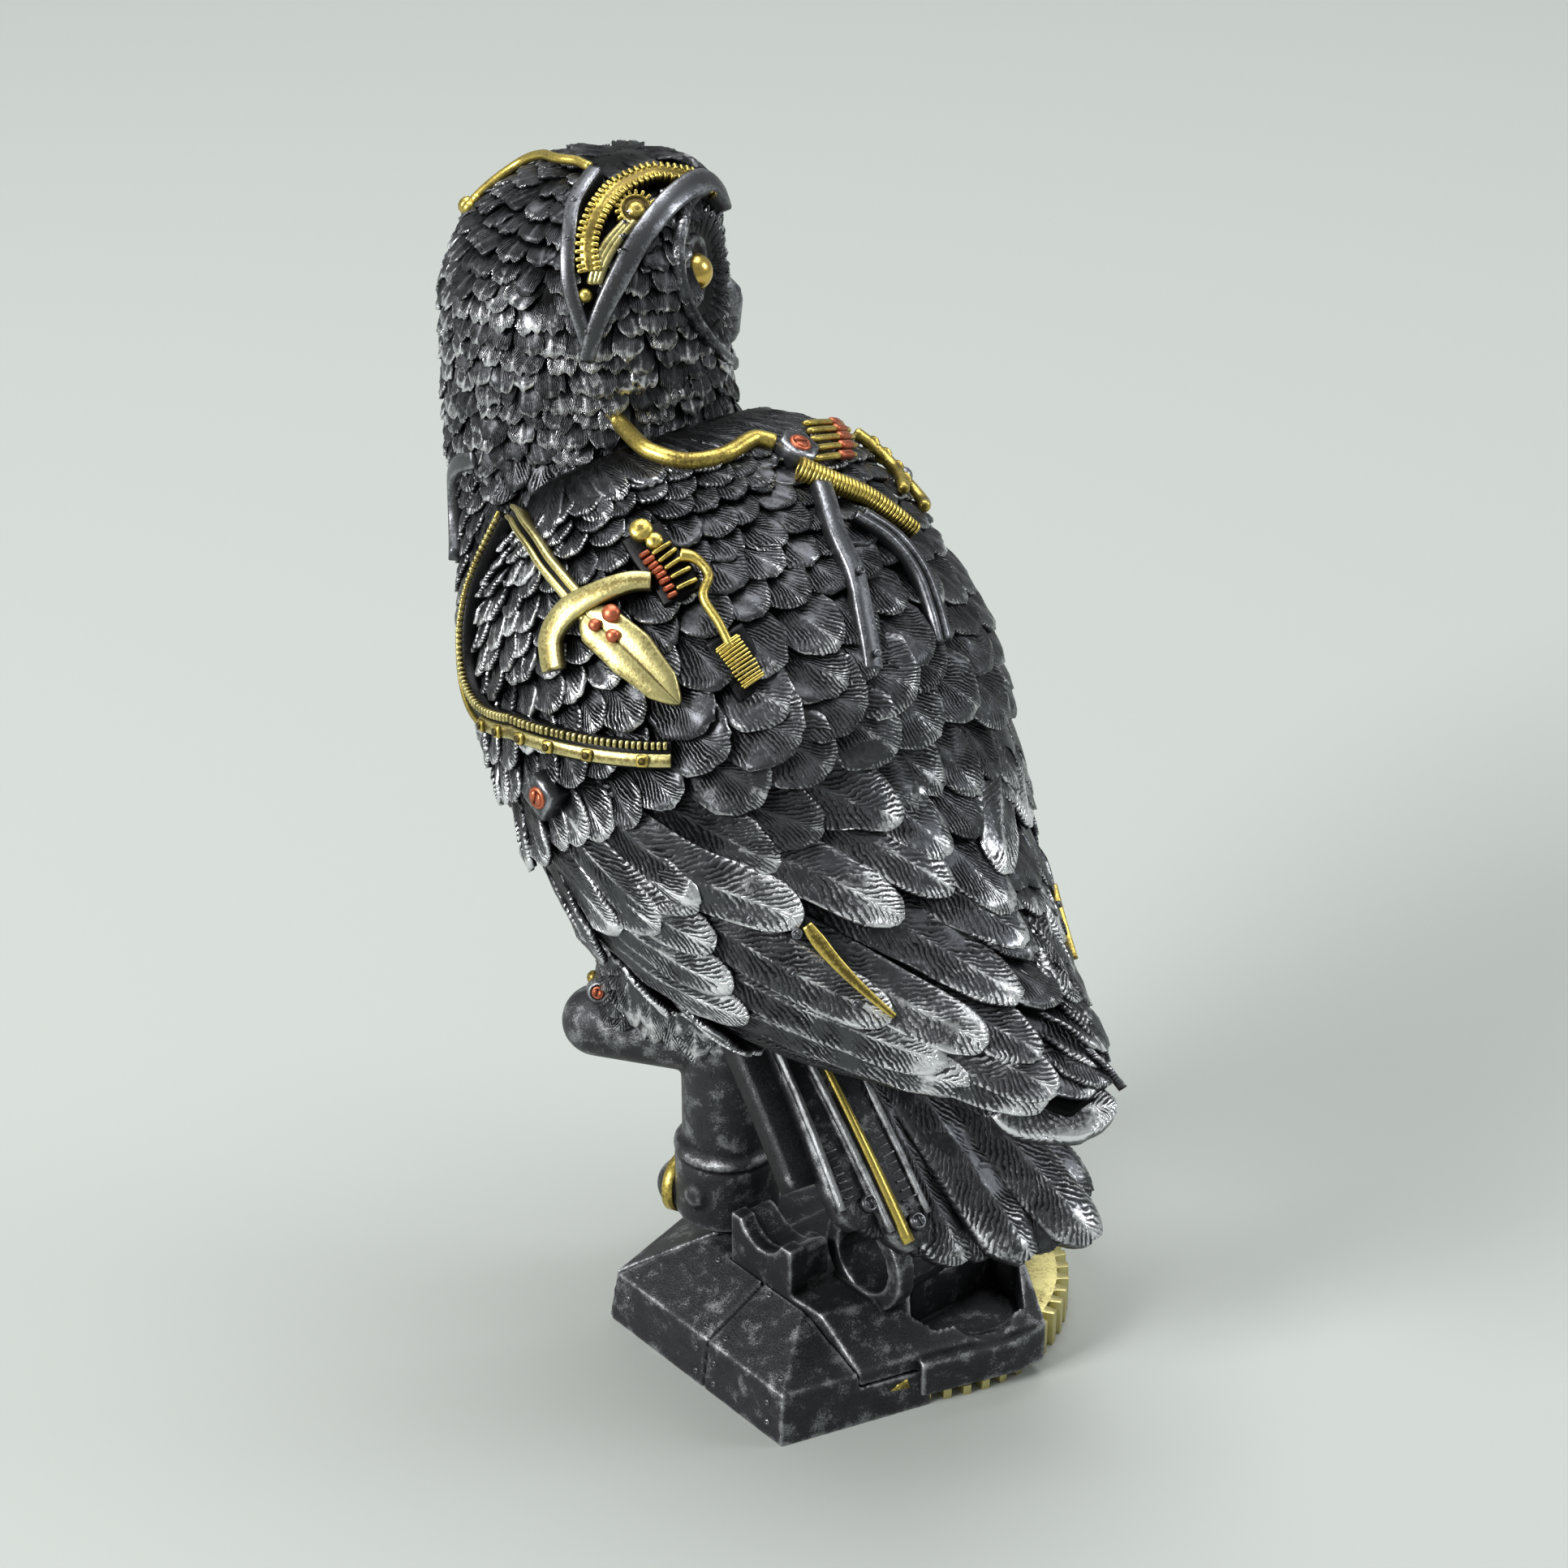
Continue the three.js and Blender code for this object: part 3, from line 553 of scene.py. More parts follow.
# %% Scatter tree
def scatter_tree():
    tree = bpy.data.node_groups.new("set copies on points", "GeometryNodeTree")
    face = tree.interface
    face.new_socket("Points", in_out="INPUT", socket_type="NodeSocketGeometry")
    face.new_socket("Template", in_out="INPUT", socket_type="NodeSocketObject")
    face.new_socket("Size", in_out="INPUT", socket_type="NodeSocketFloat").default_value = 1.0
    face.new_socket("Uneven", in_out="INPUT", socket_type="NodeSocketFloat").default_value = 0.0
    face.new_socket("Paint", in_out="INPUT", socket_type="NodeSocketMaterial")
    face.new_socket("Result", in_out="OUTPUT", socket_type="NodeSocketGeometry")
    new = tree.nodes.new
    start, end = new("NodeGroupInput"), new("NodeGroupOutput")
    template = new("GeometryNodeObjectInfo")
    turn, size = new("GeometryNodeInputNamedAttribute"), new("GeometryNodeInputNamedAttribute")
    template.inputs["As Instance"].default_value = True
    turn.data_type = size.data_type = "FLOAT_VECTOR"
    turn.inputs["Name"].default_value = "turn"
    size.inputs["Name"].default_value = "size"
    chance = new("FunctionNodeRandomValue")
    chance.data_type = "FLOAT"
    chance.inputs["Seed"].default_value = 5
    low, high = new("ShaderNodeMath"), new("ShaderNodeMath")
    low.operation, high.operation = "SUBTRACT", "ADD"
    grow = new("ShaderNodeVectorMath")
    grow.operation = "SCALE"
    copies, real = new("GeometryNodeInstanceOnPoints"), new("GeometryNodeRealizeInstances")
    paint = new("GeometryNodeSetMaterial")
    link = tree.links.new
    link(start.outputs["Size"], low.inputs[0])
    link(start.outputs["Uneven"], low.inputs[1])
    link(start.outputs["Size"], high.inputs[0])
    link(start.outputs["Uneven"], high.inputs[1])
    link(low.outputs[0], chance.inputs[2])
    link(high.outputs[0], chance.inputs[3])
    link(size.outputs[0], grow.inputs[0])
    link(chance.outputs[1], grow.inputs["Scale"])
    link(start.outputs["Template"], template.inputs["Object"])
    link(start.outputs["Points"], copies.inputs["Points"])
    link(template.outputs["Geometry"], copies.inputs["Instance"])
    link(turn.outputs[0], copies.inputs["Rotation"])
    link(grow.outputs[0], copies.inputs["Scale"])
    link(copies.outputs[0], real.inputs[0])
    link(real.outputs[0], paint.inputs["Geometry"])
    link(start.outputs["Paint"], paint.inputs["Material"])
    link(paint.outputs[0], end.inputs[0])
    return tree


SCATTER = scatter_tree()
print("scatter tree:", len(SCATTER.nodes), "nodes")

# %% [markdown]
# ## Using the scatter tree
# The holder object and its modifier live only while the copies are made. What stays is one plain mesh,
# because a mesh is what an export keeps.

# %% Scatter
def scatter(name, template, spots, paint, slot, *nodes, uneven=0.0):
    """Copies of a template form. A spot is (place, its up, its along, scale across, along and up)."""
    mould = bpy.data.objects.new(name + " template", template.mesh(name + " template"))
    points = bpy.data.meshes.new(name + " points")
    points.from_pydata([tuple(np.asarray(s[0]) * MM) for s in spots], [], [])
    turn = points.attributes.new("turn", "FLOAT_VECTOR", "POINT")
    scale = points.attributes.new("size", "FLOAT_VECTOR", "POINT")
    for k, spot in enumerate(spots):
        up = Vector(spot[1]).normalized()
        ahead = Vector(spot[2])
        ahead = (ahead - up * ahead.dot(up)).normalized()
        turn.data[k].vector = Matrix((ahead.cross(up), ahead, up)).transposed().to_euler()
        scale.data[k].vector = spot[3] if len(spot) > 3 else (1, 1, 1)
    holder = bpy.data.objects.new(name + " holder", points)
    bpy.context.scene.collection.objects.link(holder)
    modifier = holder.modifiers.new("copies", "NODES")
    modifier.node_group = SCATTER
    keys = {item.name: item.identifier for item in SCATTER.interface.items_tree if item.in_out == "INPUT"}
    modifier[keys["Template"]] = mould
    modifier[keys["Size"]] = 1.0
    modifier[keys["Uneven"]] = float(uneven)
    modifier[keys["Paint"]] = paint
    holder.update_tag()
    made = bpy.data.meshes.new_from_object(holder.evaluated_get(bpy.context.evaluated_depsgraph_get()))
    made.name = name
    bpy.data.objects.remove(holder)
    bpy.data.objects.remove(mould)
    return piece(name, made, paint, slot, *nodes)


print("inputs of the tree:", [item.name for item in SCATTER.interface.items_tree if item.in_out == "INPUT"])

# %% [markdown]
# ## Turned shapes
# Knobs, nuts, rings and pipes are round, so each is a profile carried once round an axis, as on a lathe.
# A profile entry is a radius, a height and, if it differs, how much silver the edge takes.

# %% Turned shapes
def circle(radius, sides, turn=0.0):
    t = np.arange(sides) / sides * 2 * math.pi + turn
    return np.stack([radius * np.cos(t), radius * np.sin(t)], -1)


def lathe(form, profile, sides=24, rub=0.5):
    """A turned shape about +Z from (radius, height) or (radius, height, rub) entries."""
    stack = [np.concatenate([circle(max(p[0], 1e-3), sides), np.full((sides, 1), p[1])], 1) for p in profile]
    worn = np.repeat([p[2] if len(p) > 2 else rub for p in profile], sides)
    return rings(form, stack, worn)


def turned(form, place, up, profile, sides=24, rub=0.5, turn=0.0):
    """A turned shape set at a place, standing along a direction."""
    up = unit(np.asarray(up, float))
    ahead = np.array([0, 0, 1.0]) if abs(up[2]) < 0.95 else np.array([1.0, 0.2, 0])
    y = unit(ahead - up * np.dot(ahead, up))
    x = np.cross(y, up)
    stack = []
    for r, z, *_ in profile:
        ring = circle(max(r, 1e-3), sides, turn)
        stack.append(np.asarray(place) + ring[:, :1] * x + ring[:, 1:] * y + z * up)
    worn = np.repeat([p[2] if len(p) > 2 else rub for p in profile], sides)
    return rings(form, stack, worn)


def ball(form, place, radius, squash=1.0, up=(0, 0, 1), rub=0.6, sides=20):
    t = np.linspace(-math.pi / 2, math.pi / 2, sides // 2 + 1)
    return turned(form, place, up, [(radius * math.cos(a), radius * squash * math.sin(a)) for a in t], sides, rub)


def round_ended(radius, straight, dome_at, steps):
    """Profile of a rod with a domed end."""
    dome = [(radius * math.cos(t), dome_at + radius * math.sin(t)) for t in np.linspace(0, math.pi / 2, steps)]
    return [(radius, 0), (radius, straight)] + dome


print("a ball of 20 sides has", ball(Form(), (0, 0, 0), 1.0).count, "points")

# %% [markdown]
# ## Bars, straps and pipes
# Everything long is a section carried along a path that lies on the bird. The path is given as a few places on a skin,
# so a strap follows the body by itself and needs no fitting.

# %% Bars, straps and pipes
def curve(places, count):
    """A smooth curve of places through the given ones."""
    return along(np.asarray(places, float), np.linspace(0, len(places) - 1, count))


def laid(skin, places, count, height):
    """Points and outward directions along a smooth line on a skin."""
    spots = curve(places, count)
    n = outward(skin, spots[:, 0], spots[:, 1])
    h = np.broadcast_to(np.asarray(height, float), count)[:, None]
    return skin(spots[:, 0], spots[:, 1]) + n * h, n


def spot_on(skin, s, a, height):
    """One point over a skin, and the direction straight out from it."""
    path, up = laid(skin, [(s, a), (s, a)], 2, height)
    return path[0], up[0]


def tapering(count, shares, sizes):
    """How wide a bar is along its path, while its height stays."""
    return np.stack([np.interp(np.linspace(0, 1, count), shares, sizes), np.ones(count)], -1)


def sweep(form, path, up, section, scale=None, rub=None):
    """A bar whose section (across, up) follows a path."""
    run = unit(np.gradient(path, axis=0))
    side = unit(np.cross(up, run))
    over = unit(np.cross(run, side))
    section = np.asarray(section, float)
    scale = np.ones((len(path), 2)) if scale is None else np.asarray(scale, float)
    stack = [p + (section[:, :1] * k[0]) * s + (section[:, 1:2] * k[1]) * o
             for p, s, o, k in zip(path, side, over, scale)]
    worn = np.tile(np.full(len(section), 0.5) if rub is None else np.asarray(rub, float), len(path))
    return rings(form, stack, worn)


def pipe(form, path, up, radius, sides=14, rub=0.55):
    scale = np.broadcast_to(np.asarray(radius, float), len(path))
    ends = np.ones(len(path))
    ends[[0, -1]] = 0.72
    return sweep(form, path, up, circle(1.0, sides), np.stack([scale * ends] * 2, -1), np.full(sides, rub))


def flat_bar(width, thick, depth, chamfer=0.35):
    """Section of a strap: worn on its upper edges, sunk by a depth below its path."""
    w, c = width / 2, chamfer
    points = [(w, -depth), (w, thick - c), (w - c, thick), (0, thick + 0.05), (c - w, thick), (-w, thick - c),
              (-w, -depth)]
    return points, [0.1, 0.8, 0.95, 0.45, 0.95, 0.8, 0.1]


def strap(form, skin, places, width, height, thick=1.0, depth=3.0, count=40, taper=None):
    path, up = laid(skin, places, count, height)
    section, rub = flat_bar(width, thick, depth)
    return sweep(form, path, up, section, tapering(count, *taper) if taper else None, rub)


print("section of a strap:", flat_bar(4.0, 1.0, 3.0)[0])

# %% [markdown]
# ## Templates for small parts
# A slotted screw and a bevelled block are all that the scatter tree needs for most of the small parts.

# %% Templates
def screw_head():
    """A round head with one slot: a collar and two half-moons."""
    form = Form()
    lathe(form, [(1.25, -1.2, 0), (1.25, 0.05, 0.3), (1.0, 0.35, 1.0), (0.82, 0.2, 0.1), (0.5, 0.2, 0.1)], 18)
    for side in (1, -1):
        t = np.linspace(-1.25, 1.25, 9)
        moon = np.stack([0.16 * side + 0.72 * np.cos(t) * side, 0.78 * np.sin(t)], -1)
        moon[[0, -1], 0] = 0.16 * side
        rings(form, [np.concatenate([moon, np.full((9, 1), z)], 1) for z in (0.0, 0.42)], 0.7)
    return form


def block(size, rub=0.8, bevel=0.2):
    """A small bevelled block, with the point it is set on at its middle."""
    x, y, z = (s / 2 for s in size)
    b = bevel

    def loop(inset, height):
        w, d = x - inset, y - inset
        return [(w, -d + b, height), (w, d - b, height), (w - b, d, height), (b - w, d, height),
                (-w, d - b, height), (-w, b - d, height), (b - w, -d, height), (w - b, -d, height)]

    worn = np.repeat([0.1, rub * 0.8, rub], 8)
    return rings(Form(), [loop(0, -z), loop(0, z - b), loop(b, z)], worn)


print("a screw head has", screw_head().count, "points, a block", block((1, 1, 1)).count)

# %% [markdown]
# ## The body under the feathers
# Between feather tips a cast figure shows only dark hollows. They could be left to the gaps between the feathers, but
# then one would look right through the bird. So the smooth masses stay, half a millimetre inside the solid, painted
# almost black as the painted shade of those hollows, with a dish pressed in round each eye.

# %% Body
body = Form()
for skin, last, inset in ((cloak, len(CLOAK) - 1, 0.5), (chest, len(CHEST) - 1, 0.5), (head, len(HEAD) - 1, 0.4)):
    s = np.linspace(0, last, 90)[:, None]
    a = np.linspace(-180, 180, 96, endpoint=False)[None, :]
    surface = skin(s, a) - outward(skin, s, a) * inset
    if skin is head:
        z, r = (x[..., None] for x in np.moveaxis(along(HEAD, last - s[:, 0]), -1, 0)[:2])
        depth = dish(r * 0.97 * np.sin(a * DEG), z) * np.clip(np.cos(a * DEG) * 3, 0, 1)
        surface = surface - unit(head_place(0, 1, 0) - head_place(0, 0, 0)) * depth[..., None]
    rings(body, surface, 0.05)
# The body is painted near-black as shade between the feathers.
piece("owl_body", body, shade_black_paint, "dark_metal_paint", "owl")

# %% [markdown]
# ## Head feathers
# The head carries small ragged scales, no longer than a grain of rice, pointing down the neck.
# They stop at the face discs and at the two straps, where the skull is cut open over its wheels.
# A bumpy paint could hint at them, but at the head's outline they have to stand off, so each one is a real leaf.

# %% Head
BROW_LEFT = [(0.97, 118), (1.87, 118), (2.63, 112), (3.4, 107), (3.98, 102), (4.55, 97.5)]
BROW_RIGHT = [(4.7, 99), (3.92, 94), (3.18, 87), (2.52, 78), (2.0, 62), (1.8, 40), (1.98, 20), (2.6, 7)]
left_edge = np.array(BROW_LEFT)
right_edge = np.array(BROW_RIGHT)


def in_works(s, angle):
    """True between the two head straps, where the wheels show."""
    if not 0.8 < s < 4.4:
        return False
    low = np.interp(s, right_edge[:6][::-1, 0], right_edge[:6][::-1, 1])
    high = np.interp(s, left_edge[:, 0], left_edge[:, 1])
    return low + 2 < angle < high - 2


def in_face(s, angle):
    return 2.0 < s < 5.7 and abs(angle) < np.interp(s, [1.9, 2.4, 3, 4, 5, 5.7], [0, 48, 58, 54, 34, 0])


def head_skip(s, angle):
    angle = (angle + 180) % 360 - 180
    return in_works(s, angle) or in_face(s, angle)


def head_width(s, angle):
    return float(np.interp(s, [0, 1.5, 4, 8], [6.5, 6.2, 6.0, 6.6]))


stations = [0.12, 0.45] + evenly(head, 0.8, 7.7, lambda s: 3.8)
plan = covering(head, stations, 180.0, head_width, lambda s, a: 1.15, pack=0.86, skip=head_skip, wander=14.0)
path, up = spines(head, plan[:, :2], plan[:, 2:4], 6)
# More silver low on the head: rub with a painted highlight in it, varied at random per feather.
silver_and_highlight = np.interp(plan[:, 0], [0.5, 2.5, 4.0, 8], [0.6, 0.7, 1.1, 1.0]) * dice.uniform(0.6, 1.3, len(plan))
feathers = Form()
lift = np.interp(plan[:, 0], [0, 1, 3], [0.8, 1.3, 2.1]) * dice.uniform(0.75, 1.25, len(plan))
leaf(feathers, path, up, plan[:, 4], lift=lift, sink=0.5, tip=0.17, sharp=2.8, ragged=0.06, rub=silver_and_highlight, across=9,
     droop=0.05, shaft=0.0, breadth=(0.85, 1.0, 1.05), uneven=0.3, edge=0.3)
piece("head_feathers", feathers, scale_paint, "dark_metal_paint", "owl")

# %% [markdown]
# ## Back and wing feathers
# On the back the feathers start small at the nape and grow to broad leaves half way down the wings.
# They sit in staggered rows. The long wing feathers start under the last of them. Their width, length and lean are
# functions of the place on the back, because on a real wing all three change smoothly from nape to tip.

# %% Wing coverts
def covert_width(s, angle):
    """Small at the nape, broad on the middle of the back, narrower towards each wing's front edge."""
    middle = np.interp(s, [0, 0.6, 1.3, 1.9, 2.3, 3.0, 3.6, 6], [6.5, 7.5, 10, 14, 17.5, 14.5, 13, 13.5])
    outer = np.interp(s, [0, 0.6, 2.4, 3.2, 6], [6.5, 7.5, 9, 11, 11])
    return float(middle + (outer - middle) * np.clip((abs(angle) - 42) / 20, 0, 1))


def covert_stretch(s, angle):
    middle = np.interp(s, [0, 2.5, 3.5, 6], [1.2, 1.2, 1.5, 1.9])
    outer = np.interp(s, [0, 2.4, 3.0], [1.2, 1.2, 2.4])
    return float(middle + (outer - middle) * np.clip((abs(angle) - 45) / 20, 0, 1))


def covert_lean(angle):
    """How far a feather's tip swings round the back for each station it runs down."""
    return float(np.interp(angle, [-120, -80, -40, 60, 110], [0, -3, -15, -15, -8]))


stations = evenly(cloak, 0.0, 6.9, lambda s: float(np.interp(s, [0, 1.3, 2.4, 6], [4.0, 5.6, 9.0, 11.0])))
round_to = ([0, 0.6, 1.6, 2.2, 4.4, 5, 7], [100, 118, 124, 160, 160, 80, 80])
plan = covering(cloak, stations, round_to, covert_width, covert_stretch, pack=0.76, wander=6.0, lean=covert_lean)
LAST_STATION = len(CLOAK) - 1
plan[:, 2] = np.minimum(plan[:, 2], LAST_STATION)
# Below station 3 the left wing's long quills take over from here round to its underside at 114 degrees.
quills_from = np.interp(plan[:, 0], [3.0, 3.1, 4, 5, 6, 7], [180, 30, 14, 6, 0, 10])
plan = plan[(plan[:, 0] < 6.8) & ((plan[:, 1] < quills_from) | (plan[:, 1] > 114))]
path, up = spines(cloak, plan[:, :2], plan[:, 2:4], 12)
# More silver on the left side, which faces the left lamp: rub with a painted highlight in it.
silver_and_highlight = np.interp(plan[:, 1], [-120, -60, 0, 50, 80, 125], [0.75, 0.7, 0.7, 0.8, 1.15, 1.2])
silver_and_highlight = silver_and_highlight * np.interp(plan[:, 0], [0, 2.2, 3, 6], [0.85, 0.9, 1.05, 1.05]) * dice.uniform(0.75, 1.25, len(plan))
lift = np.interp(plan[:, 4], [6, 9, 12, 18], [2.0, 2.6, 4.0, 5.6]) * dice.uniform(0.85, 1.15, len(plan))
feathers = Form()
leaf(feathers, path, up, plan[:, 4], lift=lift, sink=1.0, tip=0.26, sharp=2.5, ragged=0.012, rub=silver_and_highlight,
     across=13, thick=1.3, shaft=0.2, breadth=(0.75, 1.0, 1.05), uneven=0.25, droop=0.1)
piece("wing_coverts", feathers, feather_paint, "dark_metal_paint", "owl")
print(len(plan), "covert feathers")

# %% [markdown]
# ## Flight feathers
# Each folded wing ends in long narrow quills that run from its front edge to the crossed tips.
# The lower ones lie outermost, and their edges are the brightest silver on the whole figure, partly a painted
# highlight. Such feathers are few and each has its own place, so they are set one by one from a table, and the right
# wing mirrors the front ones.

# %% Wings
QUILLS = np.array([  # root station and angle, tip station and angle, width, lift
    (2.75, 38, 4.55, 7, 14.0, 6.2), (3.2, 22, 5.0, -3, 13.5, 5.6), (3.05, 46, 5.32, 2, 12.0, 5.6),
    (2.75, 62, 5.32, 22, 12.0, 5.2), (2.4, 80, 4.83, 46, 12.0, 4.8), (4.4, 24, 6.03, -20, 15.5, 4.8),
    (4.1, 46, 6.58, 2, 12.5, 4.6), (3.8, 60, 6.77, 40, 11.5, 4.2), (5.4, 40, 7.2, 20, 12.0, 3.8),
    (5.8, 56, 7.6, 40, 12.0, 3.2), (2.2, 92, 4.5, 70, 10.5, 4.0), (2.4, 101, 4.8, 80, 10.5, 3.2),
    (2.7, 110, 5.0, 90, 11.0, 2.4), (3.2, 74, 5.95, 56, 11.0, 3.8), (3.4, 86, 6.6, 66, 11.0, 3.0),
    (3.7, 98, 6.9, 80, 11.0, 2.2), (4.6, 80, 7.6, 64, 12.0, 2.4), (4.9, -4, 6.72, -66, 13.0, 4.4),
    (5.4, 6, 7.07, -56, 12.5, 4.0), (5.9, 14, 7.6, -40, 12.0, 3.4), (6.3, 34, 7.9, 0, 12.0, 2.8)])
FRONT_QUILLS = QUILLS[QUILLS[:, 1] > 58]
for name, side in (("left_quills", 1), ("right_quills", -1)):
    feathers = Form()
    quills = QUILLS if side > 0 else FRONT_QUILLS
    below = [(3.6 + 0.07 * k, 118 + 8 * k, 7.3 + 0.06 * k, 112 + 8.5 * k, 12.0, 0.9) for k in range(8)]
    quills = np.concatenate([quills, below]) * (1, side, 1, side, 1, 1)
    path, up = spines(cloak, quills[:, :2], quills[:, 2:4], 30)
    # Most silver on the outer lower quills, with a painted highlight in it, and less on the underside quills.
    silver_and_highlight = np.interp(quills[:, 1] * side, [-4, 0, 40, 70, 112, 116], [0.7, 0.8, 0.9, 1.15, 1.15, 0.6])
    leaf(feathers, path, up, quills[:, 4], lift=quills[:, 5], sink=1.2, tip=0.22, sharp=2.5, ragged=0.006, rub=silver_and_highlight,
         across=15, thick=1.5, breadth=(0.85, 1.0, 0.95), shaft=0.3, uneven=0.25, droop=0.1, steep=0.9,
         root_shade=0.15)
    if side > 0:  # the wing's turned-in end, one thick leaf that leaves the skin
        on_skin = cloak(np.array([5.2, 6.2, 7.2]), np.array([86.0, 80, 70]))
        path = curve(np.concatenate([on_skin, [[1.0, 69.5, 92.5], [-11.5, 78.5, 90.5]]]), 30)[None]
        up = unit(curve([[0.6, 0.5, 0], [0.6, 0.55, 0.1], [0.5, 0.6, 0.3], [0.4, 0.6, 0.6], [0.3, 0.5, 0.8]], 30))[None]
        leaf(feathers, path, up, 13.5, lift=2.6, sink=0.6, tip=0.22, sharp=2.3, ragged=0.004, rub=1.3,
             across=17, thick=5.0, breadth=(0.8, 1.0, 0.95), shaft=0.3, uneven=0.25)
    piece(name, feathers, quill_paint, "dark_metal_paint", "owl")

# %% [markdown]
# ## Breast, belly and leg feathers
# The breast has soft rounded feathers, laid by the same rows as the back. Below them two tiers of broad leaves
# hang over the legs like a skirt. They have no skin under them, so their midlines are drawn straight in the air.

# %% Breast
def breast_width(s, angle):
    return float(np.interp(s, [0, 2, 4, 7, 10], [7.0, 8.5, 10, 11.5, 10]))


plan = covering(chest, evenly(chest, 0.2, 8.8, lambda s: float(np.interp(s, [0, 9], [4.6, 5.6]))),
                ([0, 4, 6, 9], [122, 130, 178, 180]), breast_width, lambda s, a: 1.15, pack=0.78, wander=9.0)
path, up = spines(chest, plan[:, :2], plan[:, 2:4], 7)
silver_and_highlight = np.interp(plan[:, 0], [0, 3, 6, 10], [0.7, 0.6, 0.7, 0.8]) * dice.uniform(0.75, 1.2, len(plan))
feathers = Form()
leaf(feathers, path, up, plan[:, 4], lift=2.2, sink=0.8, tip=0.28, sharp=2.4, ragged=0.02, rub=silver_and_highlight, across=9,
     uneven=0.2)

hang = []
for row, (high, reach, low) in enumerate(((27, 3.0, -1.0), (19, 2.0, -7.5))):
    for k in range(17):
        phi = (-62 + 15.5 * k + 7 * row) * DEG
        belly = np.interp(high, [1, 11, 21, 30], [13, 17, 20, 24])
        x0, y0 = belly * math.cos(phi) * 0.98, -31 + belly * math.sin(phi) * 0.9
        x1, y1 = (belly * 0.86 + reach) * math.cos(phi), -31 + (belly * 0.8 + reach) * math.sin(phi)
        hang.append((x0, y0, high + dice.normal(0, 0.8), x1, y1, low + dice.normal(0, 1.2), phi))
hang = np.array(hang)
t = np.linspace(0, 1, 14)[None, :, None]
path = bird(*(hang[:, k] for k in range(3)))[:, None] * (1 - t) + bird(*(hang[:, k] for k in range(3, 6)))[:, None] * t
face_out = np.stack([np.cos(hang[:, 6]), np.sin(hang[:, 6]), 0.25 + 0 * hang[:, 6]], -1)
path = path + face_out[:, None] * (4 * t * (1 - t)) * 1.6
up = np.broadcast_to(unit(face_out)[:, None], path.shape)
leaf(feathers, path, up, 12.5 * dice.uniform(0.9, 1.1, len(hang)), lift=1.6, sink=0.6, tip=0.34, sharp=1.8,
     ragged=0.012, rub=0.95, across=11, thick=1.4, uneven=0.3, shaft=0.3)
piece("breast_feathers", feathers, feather_paint, "dark_metal_paint", "owl")

# %% [markdown]
# ## Tail
# Six tail feathers fan out below the wing tips. Two on the left are made of rails with ruler marks and screws.
# All six hang on the same kind of slightly bowed midline, so a feather and a rail can share one function.

# %% Tail feathers
# Root and tip of each, across, back and up, from the top of the perch.
TAIL = [(10.6, -7, 23, 16, 36, -20), (8.4, -6.6, 26.7, 7, 42, -26), (4.8, -5.3, 30, -2, 46, -32),
        (0.8, -6.8, 30, -14, 54, -32), (-2.4, -10, 28.4, -28, 59, -31), (-4.6, -10.5, 25.7, -35, 49, -29)]


def tail_spine(row, rows, shift=(0, 0, 0)):
    x0, y0, z0, x1, y1, z1 = row
    t = np.linspace(0, 1, rows)[:, None]
    start, end = bird(x0, y0, z0), bird(x1, y1, z1)
    bow = np.array([0, 1.6, 1.0]) * (4 * t * (1 - t))
    path = start + (end - start) * t + bow + np.array(shift)
    run = unit(end - start)
    face = np.array([0, 1, 0.35])
    up = unit(face - run * np.dot(face, run))
    return path, np.broadcast_to(up, path.shape)


feathers = Form()
paths, ups = zip(*[tail_spine(row, 26) for row in TAIL[2:]])
leaf(feathers, np.array(paths), np.array(ups), 14.0, lift=1.8, sink=0.2, tip=0.2, sharp=2.8, ragged=0.006, rub=0.7,
     across=17, thick=3.2, breadth=(0.8, 0.95, 1.0), shaft=0.5, droop=0.2, uneven=0.3, root_shade=0.1)
between = [(9.5, -6.5, 25, 12, 39.5, -22), (6.5, -6, 28.5, 2.5, 44.5, -28.5), (2.8, -6, 30, -8, 50, -31.5),
           (-1, -8, 29.4, -21, 57, -31), (-3.5, -10, 27, -31, 54, -29.5)]
paths, ups = zip(*[tail_spine(row, 22, (0, -2.4, -1.2)) for row in between])
leaf(feathers, np.array(paths), np.array(ups), 12.0, lift=1.0, sink=0.2, tip=0.2, sharp=2.6, ragged=0.008, rub=0.45,
     across=13, thick=2.6, breadth=(0.8, 0.95, 0.95), shaft=0.4, droop=0.16, uneven=0.3, root_shade=0.1)
piece("tail_feathers", feathers, quill_paint, "dark_metal_paint", "owl")

# %% [markdown]
# ## The two feathers made of rails
# Each is a flat bar with a raised rail on both edges. The ruler marks are scattered along it later from one tick,
# and beside the rails a plain dark feather closes the way to the legs.

